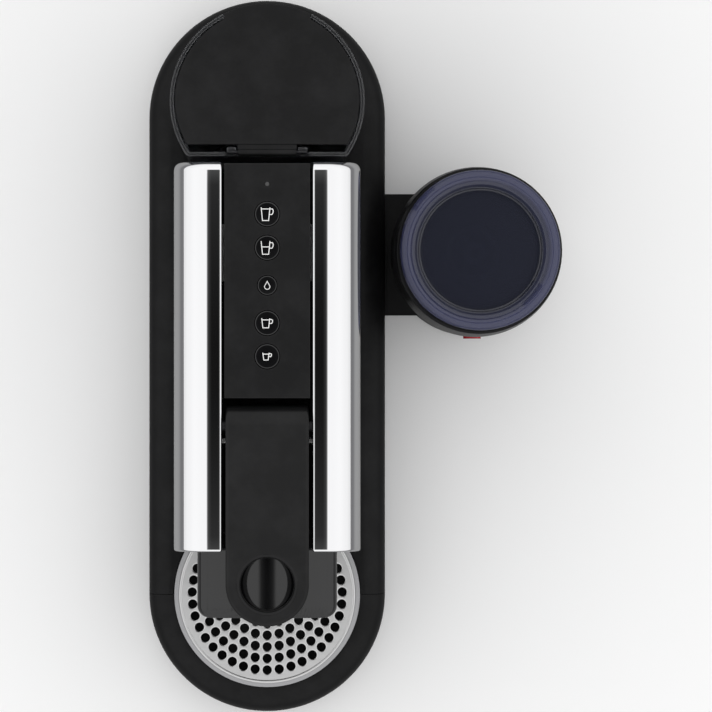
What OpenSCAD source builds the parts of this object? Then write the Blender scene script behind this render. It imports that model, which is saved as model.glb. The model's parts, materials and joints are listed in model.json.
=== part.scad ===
// Pod coffee machine with a milk frother on its right side.
// Millimetres. +Z is up, the drip tray faces -Y and the water tank is at +Y.
// Modules draw the machine about its own centreline; place() moves that frame so that
// the origin is at the bottom centre of the whole object's box.

/* [Overall] */
// Length of the plinth, front to back
body_l = 372; // [330:1:450]
// Width of the plinth
body_w = 123.4; // [112:0.1:150]
// Height to the top of the lever
total_h = 278; // [262:1:340]

/* [Plinth] */
// Height of the plinth's top deck
plinth_h = 50; // [44:1:60]
// Wall of the moulded shells
wall = 2.4; // [1.8:0.1:3.2]
// Rounding of the plinth's top edge
shoulder_r = 12; // [8:0.5:14]
// Thickness of the base plate
plate_t = 2.5; // [2:0.1:4]
// Height of the rubber feet
foot_h = 2.5; // [1.5:0.1:4]
// Radius of a rubber foot
foot_r = 7; // [5:0.5:9]

/* [Column and head] */
// Ledge of the plinth beside the column
side_ledge = 16.1; // [14:0.1:20]
// Free height from the deck to the head's underside
cup_bay_h = 136; // [120:1:145]
// Distance from the tray's centre back to the head's front
head_setback = 28.9; // [24:0.1:32]
// Rounding from the head's side to its top
head_shoulder_r = 17; // [12:0.5:20]
// Rounding of the head's upright corners
head_corner_r = 4; // [2:0.5:6]
// Thickness of the polished side panels
panel_t = 2; // [1.4:0.1:2.6]
// Width of the black control strip
strip_w = 41.8; // [38:0.1:46]
// Thickness of the control strip
strip_t = 3; // [2:0.1:4]
// Gap between the strip and each side panel
strip_gap = 1.2; // [0.6:0.1:2]

/* [Lever and brew unit] */
// Width of the lever
lever_w = 40.6; // [34:0.1:41]
// Thickness of the lever
lever_t = 10; // [8:0.5:12]
// Diameter of the finger hole
finger_hole_d = 26; // [20:0.5:30]
// How far the lever opens, in degrees
lever_open = 60; // [50:1:60]
// Radius of the lever's shaft
shaft_r = 3; // [2.5:0.1:4]
// Outer radius of the capsule cage
cage_r = 20; // [19.5:0.1:21]
// Travel of the capsule cage
cage_travel = 28; // [26:0.5:28]
// Radius of the cage's cross pin
cross_pin_r = 2; // [1.5:0.1:2.5]

/* [Controls] */
// Diameter of the four drink buttons
button_d = 12; // [10:0.1:13]
// Diameter of the hot water button
water_button_d = 9.4; // [8:0.1:11]
// Travel of a button
button_travel = 0.8; // [0.5:0.1:1.2]
// Diameter of the status light
light_d = 2; // [1.5:0.1:3]

/* [Water tank] */
// Ledge of the plinth around the tank
tank_ledge = 14.2; // [13:0.1:18]
// Wall of the tank
tank_wall = 2.1; // [1.6:0.1:3]
// Distance from the tank's round back to its flat front
tank_flat = 74.5; // [70:0.5:79]
// Thickness of the tank's lid
lid_t = 4; // [3:0.1:6]
// Width of the lid's finger tab
lid_tab_w = 43.4; // [30:0.2:50]

/* [Drip drawer] */
// Ledge of the plinth around the tray ring
tray_ledge = 13.2; // [11:0.1:16]
// Radius of the cup grid
grid_r = 45.9; // [40:0.1:47]
// Height of the cup grid above the deck
grid_rise = 12; // [8:0.5:16]
// Diameter of a drain hole
hole_d = 4.7; // [3.5:0.1:5.2]
// Spacing of the drain holes
hole_pitch = 6.05; // [5.8:0.05:7]
// Depth of the used capsule container, front to back
bin_l = 62; // [50:1:66]
// Height of the used capsule container
bin_h = 128; // [90:1:130]
// Height that the container lifts to leave its seat
bin_lift = 14; // [10:1:16]

/* [Frother] */
// Largest radius of the frother
frother_r = 43.5; // [38:0.1:50]
// Gap between the plinth and the frother
frother_gap = 2; // [1:0.1:6]
// Place of the frother along the plinth
frother_y = 53.3; // [40:0.1:70]
// Height of the frother's stand
stand_h = 22; // [18:0.5:26]
// Width of the arm that carries the stand
arm_w = 63.8; // [50:0.2:70]
// Height of the frother's lid top above the table
frother_h = 174; // [160:1:190]

/* [Hidden] */
$fn = 96;
fit = 0.05;      // running clearance of a pin in its bore, on the radius
slip = 0.4;      // clearance of a piece that slides or lifts by hand
half_w = body_w / 2;
tray_y = half_w - body_l / 2;
tank_y = -tray_y;
plate_z = foot_h;
floor_z = foot_h + plate_t;
deck_z = plinth_h;
head_z = deck_z + cup_bay_h;
panel_top = total_h - 2;
head_half = half_w - side_ledge;
ring_r = half_w - tray_ledge;
tank_r = half_w - tank_ledge;
tank_front = tank_y + tank_r - tank_flat;
head_back = tank_front - 2.8;
head_front = tray_y + head_setback;
column_front = tray_y + ring_r + 1;
strip_top = panel_top - 0.5;
strip_half = strip_w / 2;
panel_in = strip_half + strip_gap;      // inner edge of each side panel
inner_half = head_half - panel_t;       // inside face of each side panel
screw_r = 1.4;
screw_head_r = 3.2;

// Lever, shaft and brew unit hang from the top of the head
knuckle_r = lever_t;                    // round end that the lever turns on
lever_top = total_h;
shaft_setback = 61.4;                   // from the head's front to the lever's shaft
pivot_y = head_front + shaft_setback;
pivot_z = lever_top - knuckle_r;
lever_tip_y = tray_y + 13;              // centre of the lever's round end
brew_z = pivot_z - 42;                  // axis of the brew chamber
pin_y = pivot_y - 8;                    // cross pin with the lever shut
cage_front = pin_y - 30;
cage_ratio = cage_travel / lever_open;  // millimetres per degree
cam_in = panel_in + 0.6;                // inner face of each cam plate
cam_t = 1.8;
eye_r = panel_top - panel_t - pivot_z - 0.6;   // metal around the shaft, under the panels
frame_in = cam_in + cam_t + 0.8;        // inner face of each brew frame wall
frame_t = 2.4;
nose_half = 34.2;
nose_front = tray_y - 3.8;
nose_top = lever_top - lever_t - 2.5;
nose_z = head_z + 4;
spout_y = tray_y + 9;
spout_r = 9;

// Buttons, from the one nearest the tank to the one nearest the lever
panel_back = head_back - 0.6;
panel_front = pivot_y + knuckle_r + 3.4;
button_pitch = [16.4, 18.3, 18.4, 16.2];
button_y = [for (i = [0:4]) panel_back - 24.8 - sum_to(button_pitch, i)];
light_y = panel_back - 10.2;
board_z = strip_top - strip_t - 9;      // top face of the control board

// Tank and its lid
tank_z = deck_z - 2;
tank_top = panel_top - 3.4;
lid_r = tank_r - tank_wall - 0.3;
lid_hinge_y = tank_front + 2.2;
lid_hinge_z = tank_top - 3;
lid_pin_r = 1;
lid_barrel_r = 2.1;
lid_barrel_half = 14.4;
lid_back = 3.5;                         // from the hinge back to the lid's straight edge
lid_shift = 1.3;                        // sets the lid's hinge corners in, so that they clear the tank
ear_in = 15.2;
ear_out = 19.6;
neck_r = 9;                             // spout under the tank
neck_z = tank_z - 10;
valve_bore_r = 5;
stem_r = 1.8;
spring_r = 3.2;                         // to the middle of the wire
wire_r = 0.5;
seal_r = 1.1;
socket_floor = neck_z - 2 * seal_r - 0.3;
socket_t = 2.4;
socket_out = neck_r + 3.9;

// Drip drawer
ring_top = deck_z + 1.5;
ledge_z = deck_z + 0.4;                 // where the grid stands on the ring
grid_top = deck_z + grid_rise;
tray_r = ring_r - 1.2;
tray_floor = floor_z + 3;
bay_half = 34;                          // half the width of the drawer's tunnel
sled_half = bay_half - 0.8;
bin_half = sled_half - 2.4;
bin_front = column_front + 0.8;
bin_back = bin_front + bin_l;
bin_z = tray_floor + 2.4;
bin_top = bin_z + bin_h;

// Engine bay behind the drawer's tunnel
spine_y = bin_back + 3;
pump_r = 18;
pump_x = -15;
pump_y = spine_y + 34;
pump_z0 = floor_z + 36;
pump_h = 78;
meter_r = 15;
meter_x = 19;
meter_y = spine_y + 62;
meter_z0 = floor_z + 7;
meter_h = 18;
boiler_y0 = pump_y + 12;
boiler_l = 28;
boiler_half = 24;
boiler_z0 = brew_z - 22;
boiler_h = 34;
brew_hose_z = boiler_z0 + 24;
hose_r = 3;
elbow_r = 3.8;
gland_bore_r = 3.5;
gland_z = floor_z + 13;
gland_l = 9;

// Frother
frother_x = half_w + frother_gap + frother_r;
stand_r = frother_r - 1;
body_z = stand_h + 1.5;
hub_top = body_z + 4.5;                 // plug that the jug stands over
motor_z = hub_top + 1;
motor_shaft_r = 2;
pot_z = body_z + 38;                    // underside of the milk pot's floor
rim_z = frother_h - 22;                 // where the lid sits on the jug
pot_r = frother_r - 5;
lid_rim_r = frother_r - 3.1;
whisk_r = 13;
spindle_r = 2.5;
press_z = body_z + 17;
press_r = 4.6;

origin_x = (frother_x + frother_r - half_w) / 2;

// Sum of the first n values of a list
function sum_to(list, n) = n == 0 ? 0 : list[n - 1] + sum_to(list, n - 1);

// A point turned about the origin by the given angle
function turned(p, angle) =
    [p[0] * cos(angle) - p[1] * sin(angle), p[0] * sin(angle) + p[1] * cos(angle)];

// The cross pin's place in the lever's own frame when the lever is open by the given angle
function cam_point(angle) =
    turned([pin_y - pivot_y + cage_ratio * angle, brew_z - pivot_z], angle);

// Draws its children in the frame whose origin is at the object's bottom centre
module place() { translate([-origin_x, 0, 0]) children(); }

// A box given by its two corners
module block(low, high) { translate(low) cube(high - low); }

// A pipe between two heights
module pipe(r_out, r_in, z0, z1) {
    translate([0, 0, z0]) difference() {
        cylinder(r = r_out, h = z1 - z0);
        translate([0, 0, -1]) cylinder(r = r_in, h = z1 - z0 + 2);
    }
}

// A rod along X, Y or Z, centred on a point
module rod_x(r, x0, x1) { translate([x0, 0, 0]) rotate([0, 90, 0]) cylinder(r = r, h = x1 - x0); }
module rod_y(r, y0, y1) { translate([0, y1, 0]) rotate([90, 0, 0]) cylinder(r = r, h = y1 - y0); }

// A rectangle between two corners with round corners
module round_rect(low, high, r) {
    translate(low + [r, 0]) square([high[0] - low[0] - 2 * r, high[1] - low[1]]);
    translate(low + [0, r]) square([high[0] - low[0], high[1] - low[1] - 2 * r]);
    for (x = [low[0] + r, high[0] - r], y = [low[1] + r, high[1] - r])
        translate([x, y]) circle(r = r);
}

// Half of the plinth's cross-section, with its top corner rounded
module shoulder_profile(w, z0, z1, r) {
    translate([0, z0]) square([w, z1 - z0 - r]);
    translate([0, z0]) square([w - r, z1 - z0]);
    translate([w - r, z1 - r]) circle(r = r);
}

// The round-ended bar that the plinth and the drawer front are cut from
module stadium(w, z0, z1, r) {
    translate([0, tank_y, 0]) rotate_extrude(angle = 180) shoulder_profile(w, z0, z1, r);
    translate([0, tray_y, 0]) rotate([0, 0, 180])
        rotate_extrude(angle = 180) shoulder_profile(w, z0, z1, r);
    translate([0, tank_y, 0]) rotate([90, 0, 0]) linear_extrude(height = 2 * tank_y) {
        shoulder_profile(w, z0, z1, r);
        mirror([1, 0]) shoulder_profile(w, z0, z1, r);
    }
}

// A flat round-ended plate
module stadium_plate(w, z0, z1) {
    block([-w, tray_y, z0], [w, tank_y, z1]);
    for (y = [tray_y, tank_y]) translate([0, y, z0]) cylinder(r = w, h = z1 - z0);
}

screw_places = [for (y = [tray_y + 18, 0, tank_y - 20], x = [-1, 1]) [x * (half_w - 9), y]];

// ---------------------------------------------------------------- plinth

module base_plate() {
    color("dimgray") difference() {
        stadium_plate(half_w - 1.5, plate_z, floor_z);
        for (p = screw_places) translate([p[0], p[1], plate_z - 1]) {
            cylinder(r = screw_r + 0.2, h = plate_t + 2);
            cylinder(r = screw_head_r + 0.2, h = 2.2);
        }
    }
}

module feet() {
    color("black") {
        for (y = [tray_y - 28, tank_y + 28]) for (x = [-26, 26])
            translate([x, y, 0]) cylinder(r = foot_r, h = foot_h);
        for (y = [frother_y - 22, frother_y + 22])
            translate([frother_x + 12, y, 0]) cylinder(r = foot_r, h = foot_h);
    }
}

module plate_screws() {
    color("silver") for (p = screw_places) translate([p[0], p[1], plate_z + 0.1]) {
        cylinder(r = screw_head_r, h = 1);
        cylinder(r = screw_r, h = 12);
    }
}

// Room inside the tray channel, for the tray and whatever slides with it
module drawer_room(extra) {
    translate([0, tray_y, floor_z - 1]) cylinder(r = ring_r + extra, h = deck_z);
    block([-ring_r - extra, tray_y - half_w, floor_z - 1],
          [ring_r + extra, tray_y, floor_z - 1 + deck_z]);
}

module plinth() {
    color("#1c1c1e") difference() {
        union() {
            difference() {
                stadium(half_w, floor_z, deck_z, shoulder_r);
                stadium(half_w - wall, floor_z - 1, deck_z - wall, shoulder_r - wall);
                // the column stands over this opening
                block([-inner_half + 3, column_front - 2, deck_z - 10],
                      [inner_half - 3, head_back - 4, deck_z + 1]);
            }
            // wall of the tray channel
            translate([0, tray_y, floor_z + 0.01])
                cylinder(r = ring_r + slip + wall, h = deck_z - floor_z - 0.02);
            // pillars for the plate's screws
            intersection() {
                stadium(half_w, floor_z, deck_z, shoulder_r);
                for (p = screw_places) translate([p[0], p[1], floor_z]) cylinder(r = 4, h = deck_z);
            }
            // thicker deck under the tank, and a cup that holds its socket
            translate([0, 0, tank_z - wall])
                linear_extrude(height = wall + 1) tank_outline(slip + wall);
            translate([0, tank_y, socket_floor - socket_t])
                cylinder(r = socket_out + 3, h = tank_z - socket_floor);
        }
        drawer_room(slip);
        // the front half belongs to the drawer
        block([-half_w - 1, tray_y - half_w - 1, 0], [half_w + 1, tray_y, deck_z + 1]);
        // tunnel for the sled and the capsule bin
        block([-bay_half, tray_y, floor_z - 1], [bay_half, spine_y - 1, deck_z + 1]);
        for (p = screw_places) translate([p[0], p[1], floor_z - 1])
            cylinder(r = screw_r + fit, h = 16);
        // recess that the tank stands in, and the hole for its socket
        translate([0, 0, tank_z]) linear_extrude(height = 10) tank_outline(slip);
        translate([0, tank_y, floor_z]) cylinder(r = socket_out + 0.1, h = deck_z);
        // hole for the cord's gland
        translate([0, 0, gland_z]) rod_y(6 + fit, tank_y + half_w - 12, tank_y + half_w + 1);
    }
}

// Strain relief for the mains cord, flush with the back of the plinth
module cord_gland() {
    back = tank_y + half_w - 0.6;
    color("#101010") translate([0, 0, gland_z]) difference() {
        union() {
            rod_y(6, back - gland_l, back);
            rod_y(8, back - gland_l, back - gland_l + 3);
        }
        rod_y(gland_bore_r, back - gland_l - 1, back + 1);
    }
}

// ---------------------------------------------------------------- column and head

// Upright section of the head across the machine
module head_section(inset) {
    h = head_half - inset;
    top = panel_top - inset;
    r = head_shoulder_r - inset;
    translate([-h, deck_z]) square([2 * h, top - r - deck_z]);
    translate([-h + r, deck_z]) square([2 * (h - r), top - deck_z]);
    for (x = [-h + r, h - r]) translate([x, top - r]) circle(r = r);
}

// Plan of the head or the column
module plan(front, inset) {
    round_rect([-head_half + inset, front + inset], [head_half - inset, head_back - inset],
               head_corner_r - inset / 2);
}

// Solid form of the column and the overhanging head, shrunk on all sides by inset
module tower(inset) {
    intersection() {
        translate([0, head_back, 0]) rotate([90, 0, 0])
            linear_extrude(height = head_back - head_front) head_section(inset);
        union() {
            translate([0, 0, head_z + inset])
                linear_extrude(height = panel_top - head_z) plan(head_front, inset);
            translate([0, 0, deck_z])
                linear_extrude(height = head_z + inset - deck_z) plan(column_front, inset);
        }
    }
}

module side_panel(side) {
    color("#d9dadc") difference() {
        tower(0);
        tower(panel_t);
        // the other side and the control strip's channel
        if (side > 0)
            block([-head_half - 1, head_front - 1, 0], [panel_in, head_back + 1, total_h]);
        else
            block([-panel_in, head_front - 1, 0], [head_half + 1, head_back + 1, total_h]);
        // the covers and the head's floor take the faces between the side walls
        block([-inner_half, head_front - 1, head_z - 1],
              [inner_half, column_front + 6, head_z + panel_t + 0.2]);
        block([-inner_half, column_front - 1, 0],
              [inner_half, column_front + 6, head_z + panel_t + 0.2]);
        block([-inner_half, head_back - 5, 0], [inner_half, head_back + 1, head_z]);
        // seat of the nose cover
        block([-nose_half - 0.3, head_front - 1, nose_z - 0.3],
              [nose_half + 0.3, head_front + 8, nose_top + 0.3]);
    }
}

module left_side_panel() { side_panel(-1); }
module right_side_panel() { side_panel(1); }

// Inner frame: two cheeks, the spine behind the capsule bin and the shelves
module chassis() {
    cheek_in = bay_half + 1;
    cheek_out = cheek_in + 2.4;
    top = head_z + 14;
    color("#3a3a3c") difference() {
        union() {
            for (side = [-1, 1]) {
                x = side > 0 ? cheek_in : -cheek_out;
                block([x, column_front + 6, floor_z + 0.2], [x + 2.4, head_back - 6, top]);
            }
            block([-cheek_out, spine_y, floor_z + 0.2], [cheek_out, spine_y + 2.4, top - 8]);
            // shelf for the heater, and a ledge on each cheek for the brew frame
            block([-cheek_out, spine_y, top - 3], [cheek_out, head_back - 6, top]);
            for (x = [-cheek_in - 1, frame_in + 0.7])
                block([x, column_front + 6, top - 3], [x + cheek_in + 0.3 - frame_in, spine_y + 1, top]);
        }
        // the hose and the wires pass through the shelf
        translate([pump_x, pump_y, top - 4]) cylinder(r = hose_r + 2, h = 6);
        block([10, spine_y + 20, top - 4], [24, spine_y + 34, top + 1]);
    }
}

module column_front_cover() {
    color("#141416") difference() {
        block([-inner_half + 0.2, column_front + 0.2, deck_z + 0.2],
              [inner_half - 0.2, column_front + panel_t + 1.8, head_z - 0.2]);
        // the bin's front shows here, with a finger gap over it
        block([-bin_half - 1, column_front - 1, deck_z - 1],
              [bin_half + 1, column_front + 8, bin_top + bin_lift + 1]);
    }
}

module column_rear_cover() {
    color("#141416") {
        block([-inner_half + 0.2, head_back - 3.4, deck_z + 0.2],
              [inner_half - 0.2, head_back - 0.6, head_z - 0.2]);
        block([-panel_in + 0.2, head_back - 3.4, head_z - 0.3],
              [panel_in - 0.2, head_back - 0.6, board_z - 0.3]);
    }
}

module head_floor() {
    color("#141416") block([-inner_half + 0.2, head_front + 0.3, head_z],
                           [inner_half - 0.2, column_front + 5, head_z + panel_t]);
}

// Glossy front of the head, under the lever's round end
module nose_outline(inset) {
    round_rect([-nose_half + inset, nose_front + inset], [nose_half - inset, head_front + 6], 6);
}

module nose_cover() {
    color("#0c0c0e") difference() {
        translate([0, 0, nose_z]) linear_extrude(height = nose_top - nose_z) nose_outline(0);
        translate([0, 0, nose_z + wall])
            linear_extrude(height = nose_top - nose_z - 2 * wall) nose_outline(wall);
        block([-nose_half + wall, head_front + 3, nose_z + wall],
              [nose_half - wall, head_front + 8, nose_top - wall]);
        translate([0, spout_y, nose_z - 1]) cylinder(r = spout_r + 0.3, h = wall + 2);
    }
}

module coffee_spout() {
    color("#0c0c0e") translate([0, spout_y, 0]) difference() {
        union() {
            translate([0, 0, nose_z - 20]) cylinder(r1 = 6, r2 = spout_r, h = 14);
            translate([0, 0, nose_z - 6]) cylinder(r = spout_r, h = 6 + wall);
            translate([0, 0, nose_z + wall]) cylinder(r = spout_r + 1, h = 2.6);
        }
        translate([0, 0, nose_z - 21]) cylinder(r = 4, h = 40);
    }
}

// ---------------------------------------------------------------- controls

module control_strip() {
    color("#1b1b1d") difference() {
        union() {
            block([-strip_half, panel_front, strip_top - strip_t], [strip_half, panel_back, strip_top]);
            for (x = [-strip_half, strip_half - 1.6])
                block([x, panel_front, board_z], [x + 1.6, panel_back, strip_top - strip_t + 0.1]);
            block([-strip_half, panel_back - 1.6, board_z],
                  [strip_half, panel_back, strip_top - strip_t + 0.1]);
        }
        for (i = [0:4]) translate([0, button_y[i], strip_top - strip_t - 1])
            cylinder(r = (i == 2 ? water_button_d : button_d) / 2 + 0.15, h = strip_t + 2);
        translate([0, light_y, strip_top - strip_t - 1])
            cylinder(r = light_d / 2 + fit, h = strip_t + 2);
    }
}

module status_light() {
    color("lightgray") translate([0, light_y, 0]) {
        translate([0, 0, board_z + 1]) cylinder(r = light_d / 2, h = strip_top - board_z - 1);
        translate([0, 0, board_z]) cylinder(r = light_d / 2 + 1, h = 1.4);
    }
}

module control_board() {
    color("darkgreen") block([-15, panel_front + 4, board_z - 1.6], [15, panel_back - 3, board_z]);
    color("#222222") for (y = button_y)
        translate([-3, y - 3, board_z]) cube([6, 6, 3.4]);
}

// A drink button: a cap in the strip's hole and a stem that reaches the switch on the board
module button(i) {
    d = i == 2 ? water_button_d : button_d;
    stem_z = board_z + 3.4 + button_travel + 0.1;
    color("#161618") translate([0, button_y[i], 0]) {
        translate([0, 0, strip_top - 3]) cylinder(r = d / 2, h = 3.2);
        translate([0, 0, strip_top - strip_t - 1.1]) cylinder(r = d / 2 + 0.8, h = 1);
        translate([0, 0, stem_z]) cylinder(r = 2, h = strip_top - 2 - stem_z);
    }
}

module button_mug_full() { button(0); }
module button_mug_half() { button(1); }
module button_hot_water() { button(2); }
module button_cup_medium() { button(3); }
module button_cup_small() { button(4); }

// ---------------------------------------------------------------- lever and brew unit

module lever() {
    w = lever_w / 2;
    low = lever_top - lever_t;
    color("#1b1b1d") difference() {
        union() {
            block([-w, lever_tip_y, low], [w, pivot_y, lever_top]);
            translate([0, lever_tip_y, low]) cylinder(r = w, h = lever_t);
            translate([0, pivot_y, pivot_z]) rod_x(knuckle_r, -w, w);
        }
        translate([0, lever_tip_y, low - 1]) cylinder(r = finger_hole_d / 2, h = lever_t + 2);
        translate([0, pivot_y, pivot_z]) rod_x(shaft_r + 0.02, -w - 1, w + 1);
        // room for the fingers that drop the capsule in
        block([-w + 3, lever_tip_y + 22, low - 1], [w - 3, pivot_y - 12, low + 4]);
    }
}

module lever_shaft() {
    color("silver") translate([0, pivot_y, pivot_z])
        rod_x(shaft_r, -frame_in - frame_t - 1, frame_in + frame_t + 1);
}

// Outline of a cam plate in the lever's frame: a web from the shaft to the slot
module cam_outline() {
    steps = [for (i = [0:12]) i * lever_open / 12];
    rim = [for (a = steps) let (p = cam_point(a)) p * (1 + 5.5 / norm(p))];
    first = cam_point(0);
    last = cam_point(lever_open);
    hub = 0.8 * eye_r;
    polygon(concat([[-hub, 0], turned(first, -7)], rim, [turned(last, 7), [0, hub]]));
    circle(r = eye_r);
}

// The slot itself, a band along the cross pin's path
module cam_slot() {
    steps = [for (i = [0:12]) i * lever_open / 12];
    gap = cross_pin_r + 0.3;
    path = [for (a = steps) cam_point(a)];
    polygon(concat([for (p = path) p * (1 + gap / norm(p))],
                   [for (i = [12:-1:0]) path[i] * (1 - gap / norm(path[i]))]));
    // the ends are a hair wider than the band, so that they take in its corners
    for (p = [path[0], path[12]]) translate(p) circle(r = gap + 0.1);
}

module cam_plates() {
    color("silver") for (x = [cam_in, -cam_in - cam_t]) translate([x, pivot_y, pivot_z])
        rotate([90, 0, 90]) linear_extrude(height = cam_t) difference() {
            cam_outline();
            cam_slot();
            circle(r = shaft_r + 0.02);
        }
}

// Walls that carry the shaft and guide the cage, on a floor with the capsule's drop opening
module brew_frame() {
    out = frame_in + frame_t;
    low = head_z + 14;
    back = pivot_y + 44;
    rail_x = 9;
    rail_top = brew_z - sqrt(cage_r * cage_r - rail_x * rail_x) - 0.3;
    color("#2e2e30") difference() {
        union() {
            for (x = [frame_in, -out]) {
                block([x, cage_front - 14, low], [x + frame_t, back, brew_z + 24]);
                block([x, pivot_y - eye_r, low], [x + frame_t, pivot_y + eye_r, pivot_z]);
                translate([0, pivot_y, pivot_z]) rod_x(eye_r, x, x + frame_t);
            }
            block([-out, cage_front - 14, low], [out, back, low + 3]);
            // bridge that ends the hot water hose
            block([-out, back - 4, low], [out, back, brew_z + 5.5]);
            for (x = [-rail_x - 4, rail_x]) block([x, pin_y - 2, low], [x + 4, back, rail_top]);
        }
        // the spent capsule drops through here
        block([-20, cage_front - 1, low - 1], [20, cage_front + cage_travel, low + 4]);
        translate([0, pivot_y, pivot_z]) rod_x(shaft_r + fit, -out - 1, out + 1);
        translate([pump_x, 0, brew_hose_z]) rod_y(1.6, back - 5, back + 1);
    }
}

// Fixed plate that the capsule is pressed against
module extraction_plate() {
    color("silver") difference() {
        block([-17.5, cage_front - 12, head_z + 17.2], [17.5, cage_front - 0.3, brew_z + 20]);
        translate([0, 0, brew_z]) rod_y(15, cage_front - 3, cage_front + 1);
        translate([0, 0, brew_z - 9]) rod_y(3.2, cage_front - 13, cage_front - 2);
    }
}

module coffee_duct() {
    z = brew_z - 9;
    color("#9a9a98") difference() {
        union() {
            translate([0, 0, z]) rod_y(3, spout_y, cage_front - 4);
            translate([0, spout_y, nose_z + wall + 2.8]) cylinder(r = 4.5, h = z - nose_z - wall + 2);
        }
        translate([0, 0, z]) rod_y(1.8, spout_y, cage_front - 3);
        translate([0, spout_y, nose_z]) cylinder(r = 2.8, h = z - nose_z);
    }
}

module capsule_cage() {
    back = pin_y + 5;
    color("#4a4a4c") difference() {
        union() {
            translate([0, 0, brew_z]) rod_y(cage_r, cage_front, pin_y - 2);
            block([-17, pin_y - 4, brew_z - 14], [17, back, brew_z + 14]);
        }
        // capsule's room, wider at the mouth for its rim
        translate([0, 0, brew_z]) rod_y(15.2, cage_front - 1, cage_front + 23);
        translate([0, 0, brew_z]) rod_y(18.7, cage_front - 1, cage_front + 2);
        translate([0, pin_y, brew_z]) rod_x(cross_pin_r + 0.02, -20, 20);
    }
}

module cage_cross_pin() {
    color("silver") translate([0, pin_y, brew_z])
        rod_x(cross_pin_r, -cam_in - cam_t - 0.4, cam_in + cam_t + 0.4);
}

// ---------------------------------------------------------------- water tank

// Plan of the tank: a circle cut flat at the front, grown by extra
module tank_outline(extra) {
    intersection() {
        translate([0, tank_y]) circle(r = tank_r + extra);
        translate([-tank_r - 5, tank_front - extra]) square([2 * tank_r + 10, tank_flat + 10]);
    }
}

module water_tank() {
    color([0.2, 0.21, 0.23, 0.5]) difference() {
        union() {
            translate([0, 0, tank_z]) linear_extrude(height = tank_top - tank_z) tank_outline(0);
            translate([0, tank_y, neck_z]) cylinder(r = neck_r, h = 11);
        }
        translate([0, 0, tank_z + 2.4])
            linear_extrude(height = tank_top - tank_z) tank_outline(-tank_wall);
        // the valve's flange runs in the neck, and its stem passes the ledge over the spring
        translate([0, tank_y, neck_z - 1]) cylinder(r = valve_bore_r, h = tank_z - neck_z + 1);
        translate([0, tank_y, neck_z]) cylinder(r = spring_r - 0.2, h = 20);
        // notch for the lid's finger tab
        block([-lid_tab_w / 2, tank_y + 20, tank_top - lid_t - 0.4],
              [lid_tab_w / 2, tank_y + tank_r + 1, tank_top + 1]);
        // room for the lid's hinge
        block([-ear_out - 1, tank_front - 1, lid_hinge_z - 3.4],
              [ear_out + 1, tank_front + tank_wall + 3, tank_top + 1]);
    }
    color([0.2, 0.21, 0.23, 0.5]) for (side = [-1, 1]) {
        x = side > 0 ? ear_in : -ear_out;
        difference() {
            block([x, tank_front, lid_hinge_z - 6],
                  [x + ear_out - ear_in, lid_hinge_y + 2.2, lid_hinge_z + 2]);
            translate([0, lid_hinge_y, lid_hinge_z])
                rod_x(lid_pin_r + 0.02, -ear_out - 1, ear_out + 1);
        }
    }
}

module tank_lid() {
    low = tank_top - lid_t;
    color("#202022") difference() {
        union() {
            intersection() {
                translate([0, tank_y, low]) cylinder(r = lid_r, h = lid_t);
                translate([0, tank_y + lid_shift, low]) cylinder(r = lid_r, h = lid_t);
                block([-tank_r, lid_hinge_y + lid_back, low], [tank_r, tank_y + tank_r, tank_top]);
            }
            intersection() {
                translate([0, tank_y, low]) cylinder(r = tank_r - 0.2, h = lid_t);
                block([-lid_tab_w / 2 + 0.4, tank_y, low],
                      [lid_tab_w / 2 - 0.4, tank_y + tank_r, tank_top]);
            }
            translate([0, lid_hinge_y, lid_hinge_z]) rod_x(lid_barrel_r, -lid_barrel_half, lid_barrel_half);
            block([-lid_barrel_half, lid_hinge_y, lid_hinge_z - 0.8],
                  [lid_barrel_half, lid_hinge_y + 4, lid_hinge_z + lid_barrel_r]);
        }
        translate([0, lid_hinge_y, lid_hinge_z]) rod_x(lid_pin_r + fit, -lid_r, lid_r);
    }
}

module lid_hinge_pin() {
    color("silver") translate([0, lid_hinge_y, lid_hinge_z]) rod_x(lid_pin_r, -ear_out, ear_out);
}

// Sprung plug that closes the tank's neck when the tank is lifted off
module tank_valve() {
    color("ivory") translate([0, tank_y, 0]) {
        translate([0, 0, neck_z + 0.6]) cylinder(r = stem_r, h = tank_z + 3 - neck_z);
        translate([0, 0, neck_z + 0.6]) cylinder(r = valve_bore_r - fit, h = 1.4);
        translate([0, 0, tank_z + 2.5]) cylinder(r = 6.4, h = 2.4);
    }
}

module valve_spring() {
    turns = 4;
    steps = 14;
    z0 = neck_z + 2.05 + wire_r;
    z1 = tank_z - 0.05 - wire_r;
    path = [for (i = [0:turns * steps]) let (a = 360 * i / steps)
        [spring_r * cos(a), tank_y + spring_r * sin(a), z0 + (z1 - z0) * i / (turns * steps)]];
    color("silver") sweep(path, wire_r, 6);
}

// Solid tube with the given number of sides along a path that never runs straight up
module sweep(path, r, sides) {
    n = len(path);
    points = [for (i = [0:n - 1])
        let (a = path[max(i - 1, 0)], b = path[min(i + 1, n - 1)],
             along = (b - a) / norm(b - a),
             side = cross(along, [0, 0, 1]) / norm(cross(along, [0, 0, 1])),
             up = cross(side, along))
        for (k = [0:sides - 1]) path[i] + r * (cos(360 * k / sides) * side + sin(360 * k / sides) * up)];
    last = (n - 1) * sides;
    sheath = [for (i = [0:n - 2], k = [0:sides - 1], half = [0, 1])
        let (a = i * sides + k, b = i * sides + (k + 1) % sides)
        half == 0 ? [a + sides, b + sides, b] : [a + sides, b, a]];
    ends = [for (k = [1:sides - 2], end = [0, 1])
        end == 0 ? [0, k, k + 1] : [last, last + k + 1, last + k]];
    polyhedron(points = points, faces = concat(sheath, ends));
}

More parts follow.
